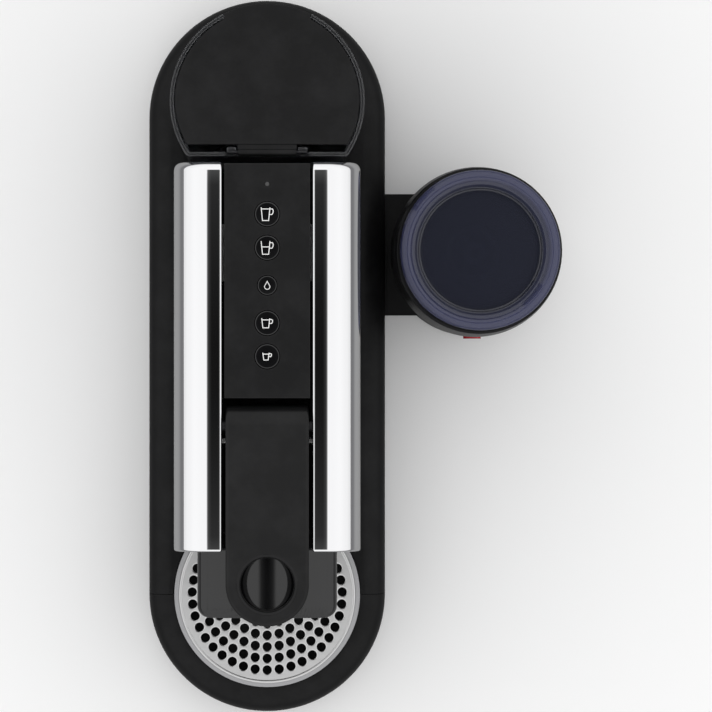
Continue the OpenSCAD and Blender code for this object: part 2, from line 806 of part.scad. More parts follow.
module tank_socket() {
    low = socket_floor - socket_t;
    color("#2a2a2c") translate([0, tank_y, 0]) difference() {
        union() {
            translate([0, 0, low]) cylinder(r = socket_out, h = tank_z - low - 0.3);
            translate([0, 0, low - 8]) cylinder(r = 5, h = 9);
        }
        translate([0, 0, socket_floor]) cylinder(r = neck_r + slip, h = 30);
        translate([0, 0, low - 9]) cylinder(r = 2, h = 30);
    }
}

module socket_seal() {
    color("black") translate([0, tank_y, socket_floor + seal_r + 0.02]) rotate_extrude()
        translate([neck_r - 2.4, 0]) circle(r = seal_r);
}

// ---------------------------------------------------------------- pump, heater and hoses

module flow_meter_body() {
    color("ivory") translate([meter_x, meter_y, 0]) difference() {
        union() {
            translate([0, 0, meter_z0]) cylinder(r = meter_r, h = meter_h);
            translate([0, 0, meter_z0 + 9]) rod_y(3.4, 10, meter_r + 7);
            translate([0, 0, meter_z0 + 9]) rod_x(3.4, -meter_r - 6, -10);
        }
        translate([0, 0, meter_z0 + 2]) cylinder(r = meter_r - 2, h = meter_h - 4);
        // blind bearings for the rotor's pin
        translate([0, 0, meter_z0 + 0.8]) cylinder(r = 1 + fit, h = meter_h - 1.6);
        translate([0, 0, meter_z0 + 9]) rod_y(1.6, 10, meter_r + 8);
        translate([0, 0, meter_z0 + 9]) rod_x(1.6, -meter_r - 7, -10);
    }
}

module flow_meter_rotor() {
    color("orange") translate([meter_x, meter_y, 0]) {
        translate([0, 0, meter_z0 + 2.4]) cylinder(r = 3, h = meter_h - 4.8);
        translate([0, 0, meter_z0 + 0.9]) cylinder(r = 1, h = meter_h - 1.8);
        for (a = [0:60:300]) rotate([0, 0, a])
            block([1, -0.6, meter_z0 + 4], [meter_r - 3.2, 0.6, meter_z0 + meter_h - 4]);
    }
}

// A hose run of straight lengths with an elbow fitting at each turn
module hose(points) {
    for (i = [0:len(points) - 2]) {
        d = points[i + 1] - points[i];
        translate(points[i])
            rotate([0, acos(d[2] / norm(d)), atan2(d[1], d[0])]) cylinder(r = hose_r, h = norm(d));
    }
    if (len(points) > 2) for (i = [1:len(points) - 2])
        translate(points[i] - [0, 0, elbow_r]) cylinder(r = elbow_r, h = 2 * elbow_r);
}

module suction_hoses() {
    socket_z = socket_floor - socket_t - 8;
    z = meter_z0 + 9;
    color("#c8c8c0") {
        hose([[0, tank_y, socket_z - 0.1], [0, tank_y, z], [meter_x, tank_y, z],
              [meter_x, meter_y + meter_r + 7.1, z]]);
        hose([[meter_x - meter_r - 6.1, meter_y, z], [pump_x, meter_y, z], [pump_x, pump_y, z],
              [pump_x, pump_y, pump_z0 - 12.2]]);
    }
}

module pump_body() {
    color("#8a8a8c") translate([pump_x, pump_y, 0]) difference() {
        union() {
            translate([0, 0, pump_z0]) cylinder(r = 11, h = pump_h);
            translate([0, 0, pump_z0 + 14]) cylinder(r = pump_r, h = 42);
            translate([0, 0, pump_z0 - 12]) cylinder(r = 4, h = 13);
            translate([0, 0, pump_z0 + pump_h - 1]) cylinder(r = 4, h = 11);
        }
        translate([0, 0, pump_z0 + 6]) cylinder(r = 7, h = pump_h - 12);
        translate([0, 0, pump_z0 - 13]) cylinder(r = 1.6, h = pump_h + 30);
    }
}

module pump_piston() {
    color("silver") translate([pump_x, pump_y, 0]) {
        translate([0, 0, pump_z0 + 16]) cylinder(r = 7 - fit, h = 30);
        translate([0, 0, pump_z0 + 45]) cylinder(r = 2.4, h = 18);
    }
}

module pump_mounts() {
    color("black") translate([pump_x, pump_y, 0]) for (z = [pump_z0 + 4, pump_z0 + pump_h - 12])
        translate([0, 0, z]) difference() {
            block([-16, spine_y + 2.6 - pump_y, 0], [16, 14, 7]);
            translate([0, 0, -1]) cylinder(r = 11.1, h = 9);
        }
}

module pressure_hose() {
    top = boiler_z0 + 10;
    color("#c8c8c0")
        hose([[pump_x, pump_y, pump_z0 + pump_h + 10.2], [pump_x, pump_y, top],
              [pump_x, boiler_y0 - 0.2, top]]);
}

module heater_block() {
    shelf = head_z + 14.2;
    color("#b8b8b4") difference() {
        union() {
            block([-boiler_half, boiler_y0, boiler_z0],
                  [boiler_half, boiler_y0 + boiler_l, boiler_z0 + boiler_h]);
            for (x = [-boiler_half + 5, boiler_half - 11])
                block([x, boiler_y0 + 4, shelf], [x + 6, boiler_y0 + 16, boiler_z0 + 1]);
            // thermostat pressed onto the top, and the element's two terminals
            translate([0, boiler_y0 + 14, boiler_z0 + boiler_h - 1]) cylinder(r = 8, h = 5);
            for (x = [6, 18]) translate([x, 0, boiler_z0 + boiler_h - 9])
                rod_y(3, boiler_y0 - 5, boiler_y0 + 1);
        }
        for (z = [boiler_z0 + 10, brew_hose_z]) translate([pump_x, 0, z])
            rod_y(1.6, boiler_y0 - 1, boiler_y0 + 20);
    }
}

// Hot water hose to the brew frame's bridge
module brew_hose() {
    color("#c8c8c0")
        hose([[pump_x, boiler_y0 - 0.2, brew_hose_z], [pump_x, pivot_y + 44.2, brew_hose_z]]);
}

module power_board() {
    x = bay_half - 3;
    color("darkgreen") block([x - 1.6, spine_y + 6, floor_z + 45], [x, head_back - 10, floor_z + 125]);
    color("#222222") {
        block([x - 13.6, spine_y + 12, floor_z + 52], [x - 1.6, spine_y + 34, floor_z + 70]);
        block([x - 9.6, spine_y + 12, floor_z + 84], [x - 1.6, spine_y + 44, floor_z + 108]);
    }
}

// ---------------------------------------------------------------- drip drawer

module drawer_front() {
    color("#1c1c1e") difference() {
        stadium(half_w, floor_z + 0.5, deck_z, shoulder_r);
        difference() {
            stadium(half_w - wall, floor_z, deck_z - wall, shoulder_r - wall);
            translate([0, tray_y, 0]) cylinder(r = ring_r + wall, h = deck_z + 1);
        }
        translate([0, tray_y, 0]) cylinder(r = ring_r, h = deck_z + 1);
        block([-half_w - 1, tray_y - 0.25, 0], [half_w + 1, tank_y + half_w + 1, deck_z + 1]);
    }
}

module drip_tray() {
    rim = deck_z - 1;
    color("#242426") difference() {
        union() {
            translate([0, tray_y, tray_floor]) cylinder(r = tray_r, h = rim - tray_floor);
            block([-sled_half, tray_y + 20, tray_floor], [sled_half, bin_back + 1.6, tray_floor + 14]);
        }
        translate([0, tray_y, tray_floor + 2]) cylinder(r = tray_r - 2, h = rim);
        // seat of the capsule bin
        block([-sled_half + 2, bin_front - 0.4, tray_floor + 2],
              [sled_half - 2, bin_back + 0.4, rim + 1]);
    }
}

// Ring on the tray's rim, with the ledge that the grid stands on
module tray_ring() {
    color("#9b9b9d") translate([0, tray_y, 0]) {
        pipe(ring_r - 0.1, grid_r + slip, ledge_z - 1.2, ring_top);
        pipe(grid_r + slip + 0.1, grid_r - 3, ledge_z - 1.2, ledge_z);
    }
}

// Drain holes: rings of holes, each ring six fewer than the one around it
module drain_holes() {
    for (ring = [0:6]) {
        count = 39 - 6 * ring;
        r = 6.45 * hole_pitch - hole_pitch * ring;
        for (k = [0:count - 1]) rotate(-90 + 360 * k / count) translate([r, 0]) circle(d = hole_d);
    }
}

module cup_grid() {
    color("#c9c9c7") translate([0, tray_y, 0]) {
        translate([0, 0, grid_top - 1.6]) linear_extrude(height = 1.6) difference() {
            circle(r = grid_r);
            drain_holes();
        }
        pipe(grid_r, grid_r - 1.6, ledge_z + 0.1, grid_top - 1.5);
        pipe(grid_r, grid_r - 1.6, grid_top - 1.5, grid_top + 0.6);
    }
}

module capsule_bin() {
    color("#242426") difference() {
        block([-bin_half, bin_front, bin_z], [bin_half, bin_back, bin_top]);
        block([-bin_half + 2, bin_front + 2, bin_z + 2], [bin_half - 2, bin_back - 2, bin_top + 1]);
        // finger scoop in the front wall
        translate([0, 0, bin_top]) rod_y(12, bin_front - 1, bin_front + 3);
    }
}

// ---------------------------------------------------------------- frother

module frother_frame() { translate([frother_x, frother_y, 0]) children(); }

module frother_stand() {
    low = foot_h;
    color("#161618") difference() {
        union() {
            frother_frame() translate([0, 0, low]) cylinder(r = stand_r, h = stand_h - low);
            block([half_w - 0.3, frother_y - arm_w / 2, low], [frother_x, frother_y + arm_w / 2, stand_h]);
            frother_frame() translate([0, 0, stand_h - 1]) cylinder(r = 11, h = hub_top - stand_h + 1);
        }
        frother_frame() translate([0, 0, low + 2]) cylinder(r = stand_r - wall, h = stand_h - low - 4.4);
        frother_frame() translate([0, 0, low - 1]) cylinder(r = 4, h = 20);
        // the arm meets the plinth's side wall
        block([0, frother_y - arm_w, 0], [half_w + 0.1, frother_y + arm_w, stand_h + 1]);
    }
}

module frother_floor() {
    color("#161618") frother_frame() pipe(frother_r - 4.4, 11.6, body_z, body_z + 2.4);
}

// Outer shell of the jug, widest above its middle
module frother_body() {
    mid = body_z + 0.6 * (rim_z - body_z);
    color("#131315") frother_frame() difference() {
        union() {
            translate([0, 0, body_z]) cylinder(r1 = frother_r - 1.8, r2 = frother_r, h = mid - body_z);
            translate([0, 0, mid]) cylinder(r1 = frother_r, r2 = frother_r - 1.4, h = rim_z - mid);
        }
        translate([0, 0, body_z - 1]) cylinder(r = frother_r - 4.2, h = rim_z);
        translate([0, -frother_r + 12, press_z]) rod_y(press_r + 0.3, -13, 0);
    }
}

module milk_pot() {
    color("#4b4b50") frother_frame() difference() {
        union() {
            translate([0, 0, pot_z]) cylinder(r = pot_r, h = rim_z - pot_z - 1);
            translate([0, 0, pot_z + 1]) cylinder(r = spindle_r, h = 22);
        }
        difference() {
            translate([0, 0, pot_z + 2]) cylinder(r = pot_r - 1.6, h = rim_z - pot_z);
            cylinder(r = spindle_r, h = pot_z + 22);
        }
    }
}

module frother_motor() {
    color("#8a8a8c") frother_frame() difference() {
        union() {
            translate([0, 0, motor_z]) cylinder(r = 16, h = 19);
            translate([0, 0, motor_z + 18]) cylinder(r = 5, h = 3);
        }
        translate([0, 0, motor_z + 4]) cylinder(r = motor_shaft_r + fit, h = 20);
    }
}

// Magnet disc on the motor's shaft, close under the pot
module magnet_rotor() {
    color("#55555a") frother_frame() {
        translate([0, 0, motor_z + 4.2]) cylinder(r = motor_shaft_r, h = pot_z - motor_z - 6);
        translate([0, 0, pot_z - 7]) cylinder(r = 13, h = 5.5);
    }
}

// Spring ring on spokes, turned by the magnets under the pot
module frother_whisk() {
    z = pot_z + 5;
    color("silver") frother_frame() {
        pipe(5.5, spindle_r + fit, z, z + 16);
        translate([0, 0, z + 3]) rotate_extrude() translate([whisk_r, 0]) circle(r = 1.8);
        for (a = [0, 120, 240]) rotate([0, 0, a]) translate([0, 0, z + 3]) rod_x(0.9, 5, whisk_r);
    }
}

module frother_button() {
    color("firebrick") translate([frother_x, frother_y - frother_r, press_z]) {
        rod_y(press_r, -0.7, 6);
        rod_y(press_r + 1.2, 5.6, 7.2);
    }
}

// Dished lid: a rim, a sunken middle and a plug that fits inside the pot
module frother_lid() {
    dish_r = lid_rim_r - 7;
    plug_r = pot_r - 1.6 - slip;
    color([0.22, 0.24, 0.32, 0.6]) frother_frame() {
        pipe(lid_rim_r, lid_rim_r - 2.4, rim_z + 0.3, frother_h);
        pipe(lid_rim_r - 2.3, dish_r - 2, frother_h - 2.4, frother_h);
        pipe(dish_r, dish_r - 2, frother_h - 5.4, frother_h - 2.3);
        translate([0, 0, frother_h - 5.4]) cylinder(r = dish_r - 1, h = 2.4);
        pipe(plug_r, plug_r - 2.4, rim_z - 6, frother_h - 2.3);
    }
}

place() {
    base_plate();
    feet();
    plinth();
    plate_screws();
    cord_gland();
    chassis();
    left_side_panel();
    right_side_panel();
    column_front_cover();
    column_rear_cover();
    head_floor();
    nose_cover();
    coffee_spout();
    control_strip();
    status_light();
    control_board();
    button_mug_full();
    button_mug_half();
    button_hot_water();
    button_cup_medium();
    button_cup_small();
    lever();
    lever_shaft();
    cam_plates();
    brew_frame();
    extraction_plate();
    coffee_duct();
    capsule_cage();
    cage_cross_pin();
    water_tank();
    tank_lid();
    lid_hinge_pin();
    tank_valve();
    valve_spring();
    tank_socket();
    socket_seal();
    flow_meter_body();
    flow_meter_rotor();
    suction_hoses();
    pump_body();
    pump_piston();
    pump_mounts();
    pressure_hose();
    heater_block();
    brew_hose();
    power_board();
    drawer_front();
    drip_tray();
    tray_ring();
    cup_grid();
    capsule_bin();
    frother_stand();
    frother_body();
    frother_floor();
    milk_pot();
    frother_motor();
    magnet_rotor();
    frother_whisk();
    frother_button();
    frother_lid();
}
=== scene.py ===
import json
import math
import bpy
import numpy as np
from mathutils.geometry import delaunay_2d_cdt
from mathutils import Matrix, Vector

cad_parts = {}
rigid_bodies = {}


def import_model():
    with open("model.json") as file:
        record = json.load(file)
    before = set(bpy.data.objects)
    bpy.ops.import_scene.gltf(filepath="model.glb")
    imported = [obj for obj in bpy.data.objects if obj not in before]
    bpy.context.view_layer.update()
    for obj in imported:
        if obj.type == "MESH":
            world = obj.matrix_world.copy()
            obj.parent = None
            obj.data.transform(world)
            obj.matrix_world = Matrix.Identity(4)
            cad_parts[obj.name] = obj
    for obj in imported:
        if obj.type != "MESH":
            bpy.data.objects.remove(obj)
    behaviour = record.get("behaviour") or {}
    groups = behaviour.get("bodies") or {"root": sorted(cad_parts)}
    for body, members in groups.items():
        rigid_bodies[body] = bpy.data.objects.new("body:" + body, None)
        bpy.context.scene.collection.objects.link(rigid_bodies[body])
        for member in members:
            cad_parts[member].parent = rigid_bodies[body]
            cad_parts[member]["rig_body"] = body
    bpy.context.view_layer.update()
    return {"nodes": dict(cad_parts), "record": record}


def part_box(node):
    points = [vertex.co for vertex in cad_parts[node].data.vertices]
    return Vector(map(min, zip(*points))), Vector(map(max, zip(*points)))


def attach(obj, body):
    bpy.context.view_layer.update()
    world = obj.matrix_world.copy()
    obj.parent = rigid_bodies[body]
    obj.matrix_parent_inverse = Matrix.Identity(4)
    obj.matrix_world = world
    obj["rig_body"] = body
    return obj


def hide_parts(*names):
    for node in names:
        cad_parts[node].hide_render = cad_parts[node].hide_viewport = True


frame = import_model()

MM = 0.001
TAU = 2 * math.pi


# ------------------------------------------------------------------ places, from the frame

def low(node):
    """Lowest corner of a CAD node, as an array."""
    return np.array(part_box(node)[0])


def high(node):
    """Highest corner of a CAD node, as an array."""
    return np.array(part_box(node)[1])


plinth_low, plinth_high = low("plinth"), high("plinth")
centre_x = (plinth_low[0] + plinth_high[0]) / 2
plinth_half = (plinth_high[0] - plinth_low[0]) / 2
deck_z = plinth_high[2]
tank_y = plinth_high[1] - plinth_half
tray_y = low("drawer_front")[1] + plinth_half
head_half = high("right_side_panel")[0] - centre_x
head_front, head_back = low("left_side_panel")[1], high("left_side_panel")[1]
panel_top = high("left_side_panel")[2]
panel_in = low("right_side_panel")[0] - centre_x
jug_x = (low("frother_body")[0] + high("frother_body")[0]) / 2
jug_y = (low("milk_pot")[1] + high("milk_pot")[1]) / 2


# ------------------------------------------------------------------ mesh tools

def add_piece(name, verts, faces, finish, body, nodes=(), sharp=40):
    """Mesh object from points and faces, smooth except where faces meet at more than sharp degrees."""
    mesh = bpy.data.meshes.new(name)
    mesh.from_pydata(np.asarray(verts).tolist(), [], [list(f) for f in faces])
    mesh.validate()
    mesh.polygons.foreach_set("use_smooth", [True] * len(mesh.polygons))
    mesh.set_sharp_from_angle(angle=math.radians(sharp))
    mesh.materials.append(finish)
    piece = bpy.data.objects.new(name, mesh)
    bpy.context.scene.collection.objects.link(piece)
    weighted = piece.modifiers.new("even_shading", "WEIGHTED_NORMAL")
    weighted.keep_sharp = True
    weighted.weight = 80
    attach(piece, body)
    if nodes:
        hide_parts(*nodes)
    return piece


def simple(face):
    """Face without the point that a triangle written as a quad repeats."""
    return [v for k, v in enumerate(face) if v != face[k - 1]]


def joined(parts):
    """One point array and one face list from several (points, faces) parts."""
    verts, faces, count = [], [], 0
    for points, part_faces in parts:
        verts.append(points)
        faces += [[i + count for i in f] for f in part_faces]
        count += len(points)
    return np.concatenate(verts), faces


def outward(verts, faces):
    """Faces turned so that the closed shape has a positive volume, summed over its triangles."""
    volume = 0.0
    for size in {len(f) for f in faces}:
        loops = np.array([f for f in faces if len(f) == size])
        for k in range(1, size - 1):
            a, b, c = verts[loops[:, 0]], verts[loops[:, k]], verts[loops[:, k + 1]]
            volume += np.einsum("ij,ij->i", a, np.cross(b, c)).sum()
    return faces if volume > 0 else [f[::-1] for f in faces]


def lathe(profile, centre, segments=128, closed=False):
    """Surface of revolution: at angle a, a profile point (r, z) is at centre + (r cos a, r sin a, z).
    Profile ends with r = 0 are closed by one pole point, and a closed profile makes a ring."""
    profile = np.asarray(profile, float)
    a = np.linspace(0, TAU, segments, endpoint=False)
    i = np.arange(segments)
    j = (i + 1) % segments
    rings, faces, verts, count = [], [], [], 0
    for r, z in profile:
        if r < 1e-9:
            verts.append([[centre[0], centre[1], z]])
            rings.append(count + 0 * i)
        else:
            verts.append(np.stack([centre[0] + r * np.cos(a), centre[1] + r * np.sin(a),
                                   np.full(segments, z)], axis=1))
            rings.append(count + i)
        count += len(verts[-1])
    for p, q in zip(rings if closed else rings[:-1], rings[1:] + rings[:1]):
        faces += [simple(f) for f in np.stack([p[i], p[j], q[j], q[i]], axis=1).tolist()]
    verts = np.concatenate(verts)
    return verts, outward(verts, faces)


def merged_sheet(blocks):
    """One flat mesh from several (points, quads) blocks whose shared points coincide."""
    points, quads, count = [], [], 0
    for block_points, block_quads in blocks:
        points.append(block_points)
        quads.append(block_quads + count)
        count += len(block_points)
    points, quads = np.concatenate(points), np.concatenate(quads)
    _, first, back = np.unique(np.round(points / (0.001 * MM) + 0.137).astype(np.int64), axis=0,
                                  return_index=True, return_inverse=True)
    return points[first], back.reshape(-1)[quads]


def ruled(left, right, columns):
    """Block between two lines of points: column t is left + t (right - left)."""
    t = np.linspace(0, 1, columns)[None, :, None]
    points = left[:, None, :] * (1 - t) + right[:, None, :] * t
    rows = len(left)
    i = np.arange(rows - 1)[:, None] * columns + np.arange(columns - 1)[None, :]
    quads = np.stack([i, i + columns, i + columns + 1, i + 1], axis=-1).reshape(-1, 4)
    return points.reshape(-1, 2), quads


def between_loops(outer, inner, rings=1):
    """Block between two closed loops with the same count of points."""
    n = len(outer)
    t = np.linspace(0, 1, rings + 1)[:, None, None]
    points = (outer[None] * (1 - t) + inner[None] * t).reshape(-1, 2)
    k, i = np.meshgrid(np.arange(rings), np.arange(n), indexing="ij")
    j = (i + 1) % n
    quads = np.stack([k * n + i, k * n + j, (k + 1) * n + j, (k + 1) * n + i], axis=-1)
    return points, quads.reshape(-1, 4)


def box_loop(x0, x1, y0, y1, n):
    """Closed loop round a rectangle with n points a side, from its lower left corner."""
    t = np.arange(n) / n
    return np.concatenate([
        np.stack([x0 + (x1 - x0) * t, np.full(n, y0)], axis=1),
        np.stack([np.full(n, x1), y0 + (y1 - y0) * t], axis=1),
        np.stack([x1 - (x1 - x0) * t, np.full(n, y1)], axis=1),
        np.stack([np.full(n, x0), y1 - (y1 - y0) * t], axis=1)])


def plate(points, quads, bend, thickness, top_edge, bottom_edge=0.2 * MM, steps=5, around=1e3):
    """Closed solid from a flat mesh. Round every border, at angle a of a quarter turn, the surface lies
    edge (1 - sin a) inside the outline and edge (1 - cos a) below the face. top_edge is one
    radius or one for each point. bend takes sheet points and depths to space. A sheet that closes
    on itself along x has the length around."""
    count = len(points)

    def step(start, end):
        d = points[end] - points[start]
        d[:, 0] = (d[:, 0] + around / 2) % around - around / 2
        return d

    clockwise = np.cross(step(quads[:, 0], quads[:, 2]), step(quads[:, 1], quads[:, 3])) < 0
    quads = np.where(clockwise[:, None], quads[:, ::-1], quads)
    ends = np.stack([quads, np.roll(quads, -1, axis=1)], axis=-1).reshape(-1, 2)
    ends = ends[ends[:, 0] != ends[:, 1]]
    known = set(map(tuple, ends.tolist()))
    border = np.array([e for e in ends.tolist() if (e[1], e[0]) not in known])
    d = step(border[:, 0], border[:, 1])
    d /= np.linalg.norm(d, axis=1, keepdims=True)
    side = np.stack([d[:, 1], -d[:, 0]], axis=1)
    total = np.zeros((count, 2))
    np.add.at(total, border[:, 0], side)
    np.add.at(total, border[:, 1], side)
    rim = np.unique(border)
    size = np.linalg.norm(total[rim], axis=1, keepdims=True)
    mitre = total[rim] / size * (2 / size)
    where = np.full(count, -1)
    where[rim] = np.arange(len(rim))
    edge = np.broadcast_to(np.asarray(top_edge, float), (count,))[rim][:, None]
    rings = []
    for a in np.linspace(0, math.pi / 2, steps + 1):
        rings.append((points[rim] - mitre * edge * (1 - math.sin(a)), edge[:, 0] * (1 - math.cos(a))))
    for a in np.linspace(math.pi / 2, 0, 3):
        inset = mitre * bottom_edge * (1 - math.sin(a))
        rings.append((points[rim] - inset, np.full(len(rim), thickness - bottom_edge * (1 - math.cos(a)))))
    top = points.copy()
    top[rim] = rings[0][0]
    bottom = points.copy()
    bottom[rim] = rings[-1][0]
    verts = [bend(top, np.zeros(count))]
    verts += [bend(p, depth) for p, depth in rings[1:-1]]
    verts.append(bend(bottom, np.full(count, thickness)))
    index = [rim] + [count + k * len(rim) + np.arange(len(rim)) for k in range(len(rings) - 2)]
    last = count + (len(rings) - 2) * len(rim)
    index.append(last + rim)
    faces = [simple(f) for f in quads.tolist()]
    faces += [[last + i for i in f[::-1]] for f in faces]
    a, b = where[border[:, 0]], where[border[:, 1]]
    for upper, lower in zip(index[:-1], index[1:]):
        faces += np.stack([upper[b], upper[a], lower[a], lower[b]], axis=1).tolist()
    verts = np.concatenate(verts)
    return verts, outward(verts, faces)


# ------------------------------------------------------------------ finishes

def tree_of(material):
    """Node tree of a material and its main shader."""
    material.use_nodes = True
    return material.node_tree, material.node_tree.nodes["Principled BSDF"]


def effect_group(name, inputs, outputs):
    """Empty shader group with named float inputs (name, default) and outputs (name, socket type)."""
    group = bpy.data.node_groups.new(name, "ShaderNodeTree")
    for label, value in inputs:
        socket = group.interface.new_socket(name=label, in_out="INPUT", socket_type="NodeSocketFloat")
        socket.default_value = value
    for label, kind in outputs:
        group.interface.new_socket(name=label, in_out="OUTPUT", socket_type=kind)
    return group, group.nodes.new("NodeGroupInput"), group.nodes.new("NodeGroupOutput")


def moulded_group():
    """Fine spark-eroded grain of moulded plastic: a height, and a roughness that wanders slowly."""
    group, source, sink = effect_group(
        "moulded_grain", [("Grain Scale", 1500), ("Roughness", 0.4), ("Wander", 0.06)],
        [("Height", "NodeSocketFloat"), ("Roughness", "NodeSocketFloat")])
    nodes, links = group.nodes, group.links
    place = nodes.new("ShaderNodeTexCoord")
    grain = nodes.new("ShaderNodeTexNoise")
    grain.inputs["Detail"].default_value = 2
    slow = nodes.new("ShaderNodeTexNoise")
    slow.inputs["Scale"].default_value = 24
    slow.inputs["Detail"].default_value = 5
    centred = nodes.new("ShaderNodeMath")
    centred.operation = "SUBTRACT"
    centred.inputs[1].default_value = 0.5
    spread = nodes.new("ShaderNodeMath")
    spread.operation = "MULTIPLY_ADD"
    links.new(place.outputs["Object"], grain.inputs["Vector"])
    links.new(place.outputs["Object"], slow.inputs["Vector"])
    links.new(source.outputs["Grain Scale"], grain.inputs["Scale"])
    links.new(slow.outputs["Fac"], centred.inputs[0])
    links.new(centred.outputs[0], spread.inputs[0])
    links.new(source.outputs["Wander"], spread.inputs[1])
    links.new(source.outputs["Roughness"], spread.inputs[2])
    links.new(grain.outputs["Fac"], sink.inputs["Height"])
    links.new(spread.outputs[0], sink.inputs["Roughness"])
    return group


def dust_group():
    """Thin dust and touch marks: a mask that is strongest on faces that look up."""
    group, source, sink = effect_group(
        "dust_mask", [("Amount", 0.1), ("Scale", 60)], [("Mask", "NodeSocketFloat")])
    nodes, links = group.nodes, group.links
    place = nodes.new("ShaderNodeTexCoord")
    facing = nodes.new("ShaderNodeNewGeometry")
    split = nodes.new("ShaderNodeSeparateXYZ")
    up = nodes.new("ShaderNodeMapRange")
    up.inputs["From Min"].default_value = 0.2
    up.inputs["From Max"].default_value = 1
    cloud = nodes.new("ShaderNodeTexNoise")
    cloud.inputs["Detail"].default_value = 6
    cloud.inputs["Roughness"].default_value = 0.65
    shape = nodes.new("ShaderNodeMapRange")
    shape.inputs["From Min"].default_value = 0.42
    shape.inputs["From Max"].default_value = 0.75
    both = nodes.new("ShaderNodeMath")
    both.operation = "MULTIPLY"
    scaled = nodes.new("ShaderNodeMath")
    scaled.operation = "MULTIPLY"
    links.new(place.outputs["Object"], cloud.inputs["Vector"])
    links.new(source.outputs["Scale"], cloud.inputs["Scale"])
    links.new(facing.outputs["Normal"], split.inputs[0])
    links.new(split.outputs["Z"], up.inputs["Value"])
    links.new(cloud.outputs["Fac"], shape.inputs["Value"])
    links.new(up.outputs[0], both.inputs[0])
    links.new(shape.outputs[0], both.inputs[1])
    links.new(both.outputs[0], scaled.inputs[0])
    links.new(source.outputs["Amount"], scaled.inputs[1])
    links.new(scaled.outputs[0], sink.inputs["Mask"])
    return group


def brushed_group():
    """Brushing lines: noise stretched along one axis, as a height and a roughness."""
    group, source, sink = effect_group(
        "brushed_lines", [("Fineness", 900), ("Stretch", 0.03), ("Roughness", 0.25), ("Wander", 0.12)],
        [("Height", "NodeSocketFloat"), ("Roughness", "NodeSocketFloat")])
    nodes, links = group.nodes, group.links
    place = nodes.new("ShaderNodeTexCoord")
    split = nodes.new("ShaderNodeSeparateXYZ")
    squeeze = nodes.new("ShaderNodeMath")
    squeeze.operation = "MULTIPLY"
    rebuilt = nodes.new("ShaderNodeCombineXYZ")
    lines = nodes.new("ShaderNodeTexNoise")
    lines.inputs["Detail"].default_value = 3
    spread = nodes.new("ShaderNodeMath")
    spread.operation = "MULTIPLY_ADD"
    links.new(place.outputs["Object"], split.inputs[0])
    links.new(split.outputs["X"], squeeze.inputs[0])
    links.new(source.outputs["Stretch"], squeeze.inputs[1])
    links.new(squeeze.outputs[0], rebuilt.inputs["X"])
    links.new(split.outputs["Y"], rebuilt.inputs["Y"])
    links.new(split.outputs["Z"], rebuilt.inputs["Z"])
    links.new(rebuilt.outputs[0], lines.inputs["Vector"])
    links.new(source.outputs["Fineness"], lines.inputs["Scale"])
    links.new(lines.outputs["Fac"], spread.inputs[0])
    links.new(source.outputs["Wander"], spread.inputs[1])
    links.new(source.outputs["Roughness"], spread.inputs[2])
    links.new(lines.outputs["Fac"], sink.inputs["Height"])
    links.new(spread.outputs[0], sink.inputs["Roughness"])
    return group


GRAIN = moulded_group()
DUST = dust_group()
BRUSHED = brushed_group()


def use_group(tree, group, **values):
    """An effect group placed in a material, with its values."""
    node = tree.nodes.new("ShaderNodeGroup")
    node.node_tree = group
    for label, value in values.items():
        node.inputs[label.replace("_", " ")].default_value = value
    return node


def bumped(tree, shader, height, distance, strength=0.5):
    """Feeds a height to the shader's normal. distance is the relief in metres."""
    bump = tree.nodes.new("ShaderNodeBump")
    bump.inputs["Distance"].default_value = distance
    bump.inputs["Strength"].default_value = strength
    tree.links.new(height, bump.inputs["Height"])
    tree.links.new(bump.outputs["Normal"], shader.inputs["Normal"])


def dusted(tree, shader, colour, amount, dust=(0.32, 0.32, 0.33), scale=60):
    """Base colour with dust mixed over it."""
    mask = use_group(tree, DUST, Amount=amount, Scale=scale)
    mix = tree.nodes.new("ShaderNodeMix")
    mix.data_type = "RGBA"
    mix.inputs["A"].default_value = (*colour, 1)
    mix.inputs["B"].default_value = (*dust, 1)
    tree.links.new(mask.outputs["Mask"], mix.inputs["Factor"])
    tree.links.new(mix.outputs["Result"], shader.inputs["Base Color"])


def plastic(name, colour, roughness, grain=1500, relief=0.00002, wander=0.06, dust=0.02, coat=0.0,
            specular=0.5):
    """Moulded plastic with its grain, a roughness that wanders and a little dust."""
    material = bpy.data.materials.new(name)
    tree, shader = tree_of(material)
    skin = use_group(tree, GRAIN, Grain_Scale=grain, Roughness=roughness, Wander=wander)
    tree.links.new(skin.outputs["Roughness"], shader.inputs["Roughness"])
    bumped(tree, shader, skin.outputs["Height"], relief)
    if dust:
        dusted(tree, shader, colour, dust)
    else:
        shader.inputs["Base Color"].default_value = (*colour, 1)
    shader.inputs["Coat Weight"].default_value = coat
    shader.inputs["Coat Roughness"].default_value = 0.04
    shader.inputs["Specular IOR Level"].default_value = specular
    return material


def metal(name, colour, roughness, wander=0.1, fineness=900, stretch=0.03, relief=0.000004):
    """Brushed or drawn metal."""
    material = bpy.data.materials.new(name)
    tree, shader = tree_of(material)
    lines = use_group(tree, BRUSHED, Fineness=fineness, Stretch=stretch, Roughness=roughness,
                      Wander=wander)
    tree.links.new(lines.outputs["Roughness"], shader.inputs["Roughness"])
    bumped(tree, shader, lines.outputs["Height"], relief)
    shader.inputs["Base Color"].default_value = (*colour, 1)
    shader.inputs["Metallic"].default_value = 1
    return material


def chrome_plate():
    """Mirror plate with faint touch marks in its roughness."""
    material = bpy.data.materials.new("polished_chrome")
    tree, shader = tree_of(material)
    marks = use_group(tree, GRAIN, Grain_Scale=220, Roughness=0.03, Wander=0.03)
    tree.links.new(marks.outputs["Roughness"], shader.inputs["Roughness"])
    shader.inputs["Base Color"].default_value = (0.82, 0.82, 0.83, 1)
    shader.inputs["Metallic"].default_value = 1
    return material


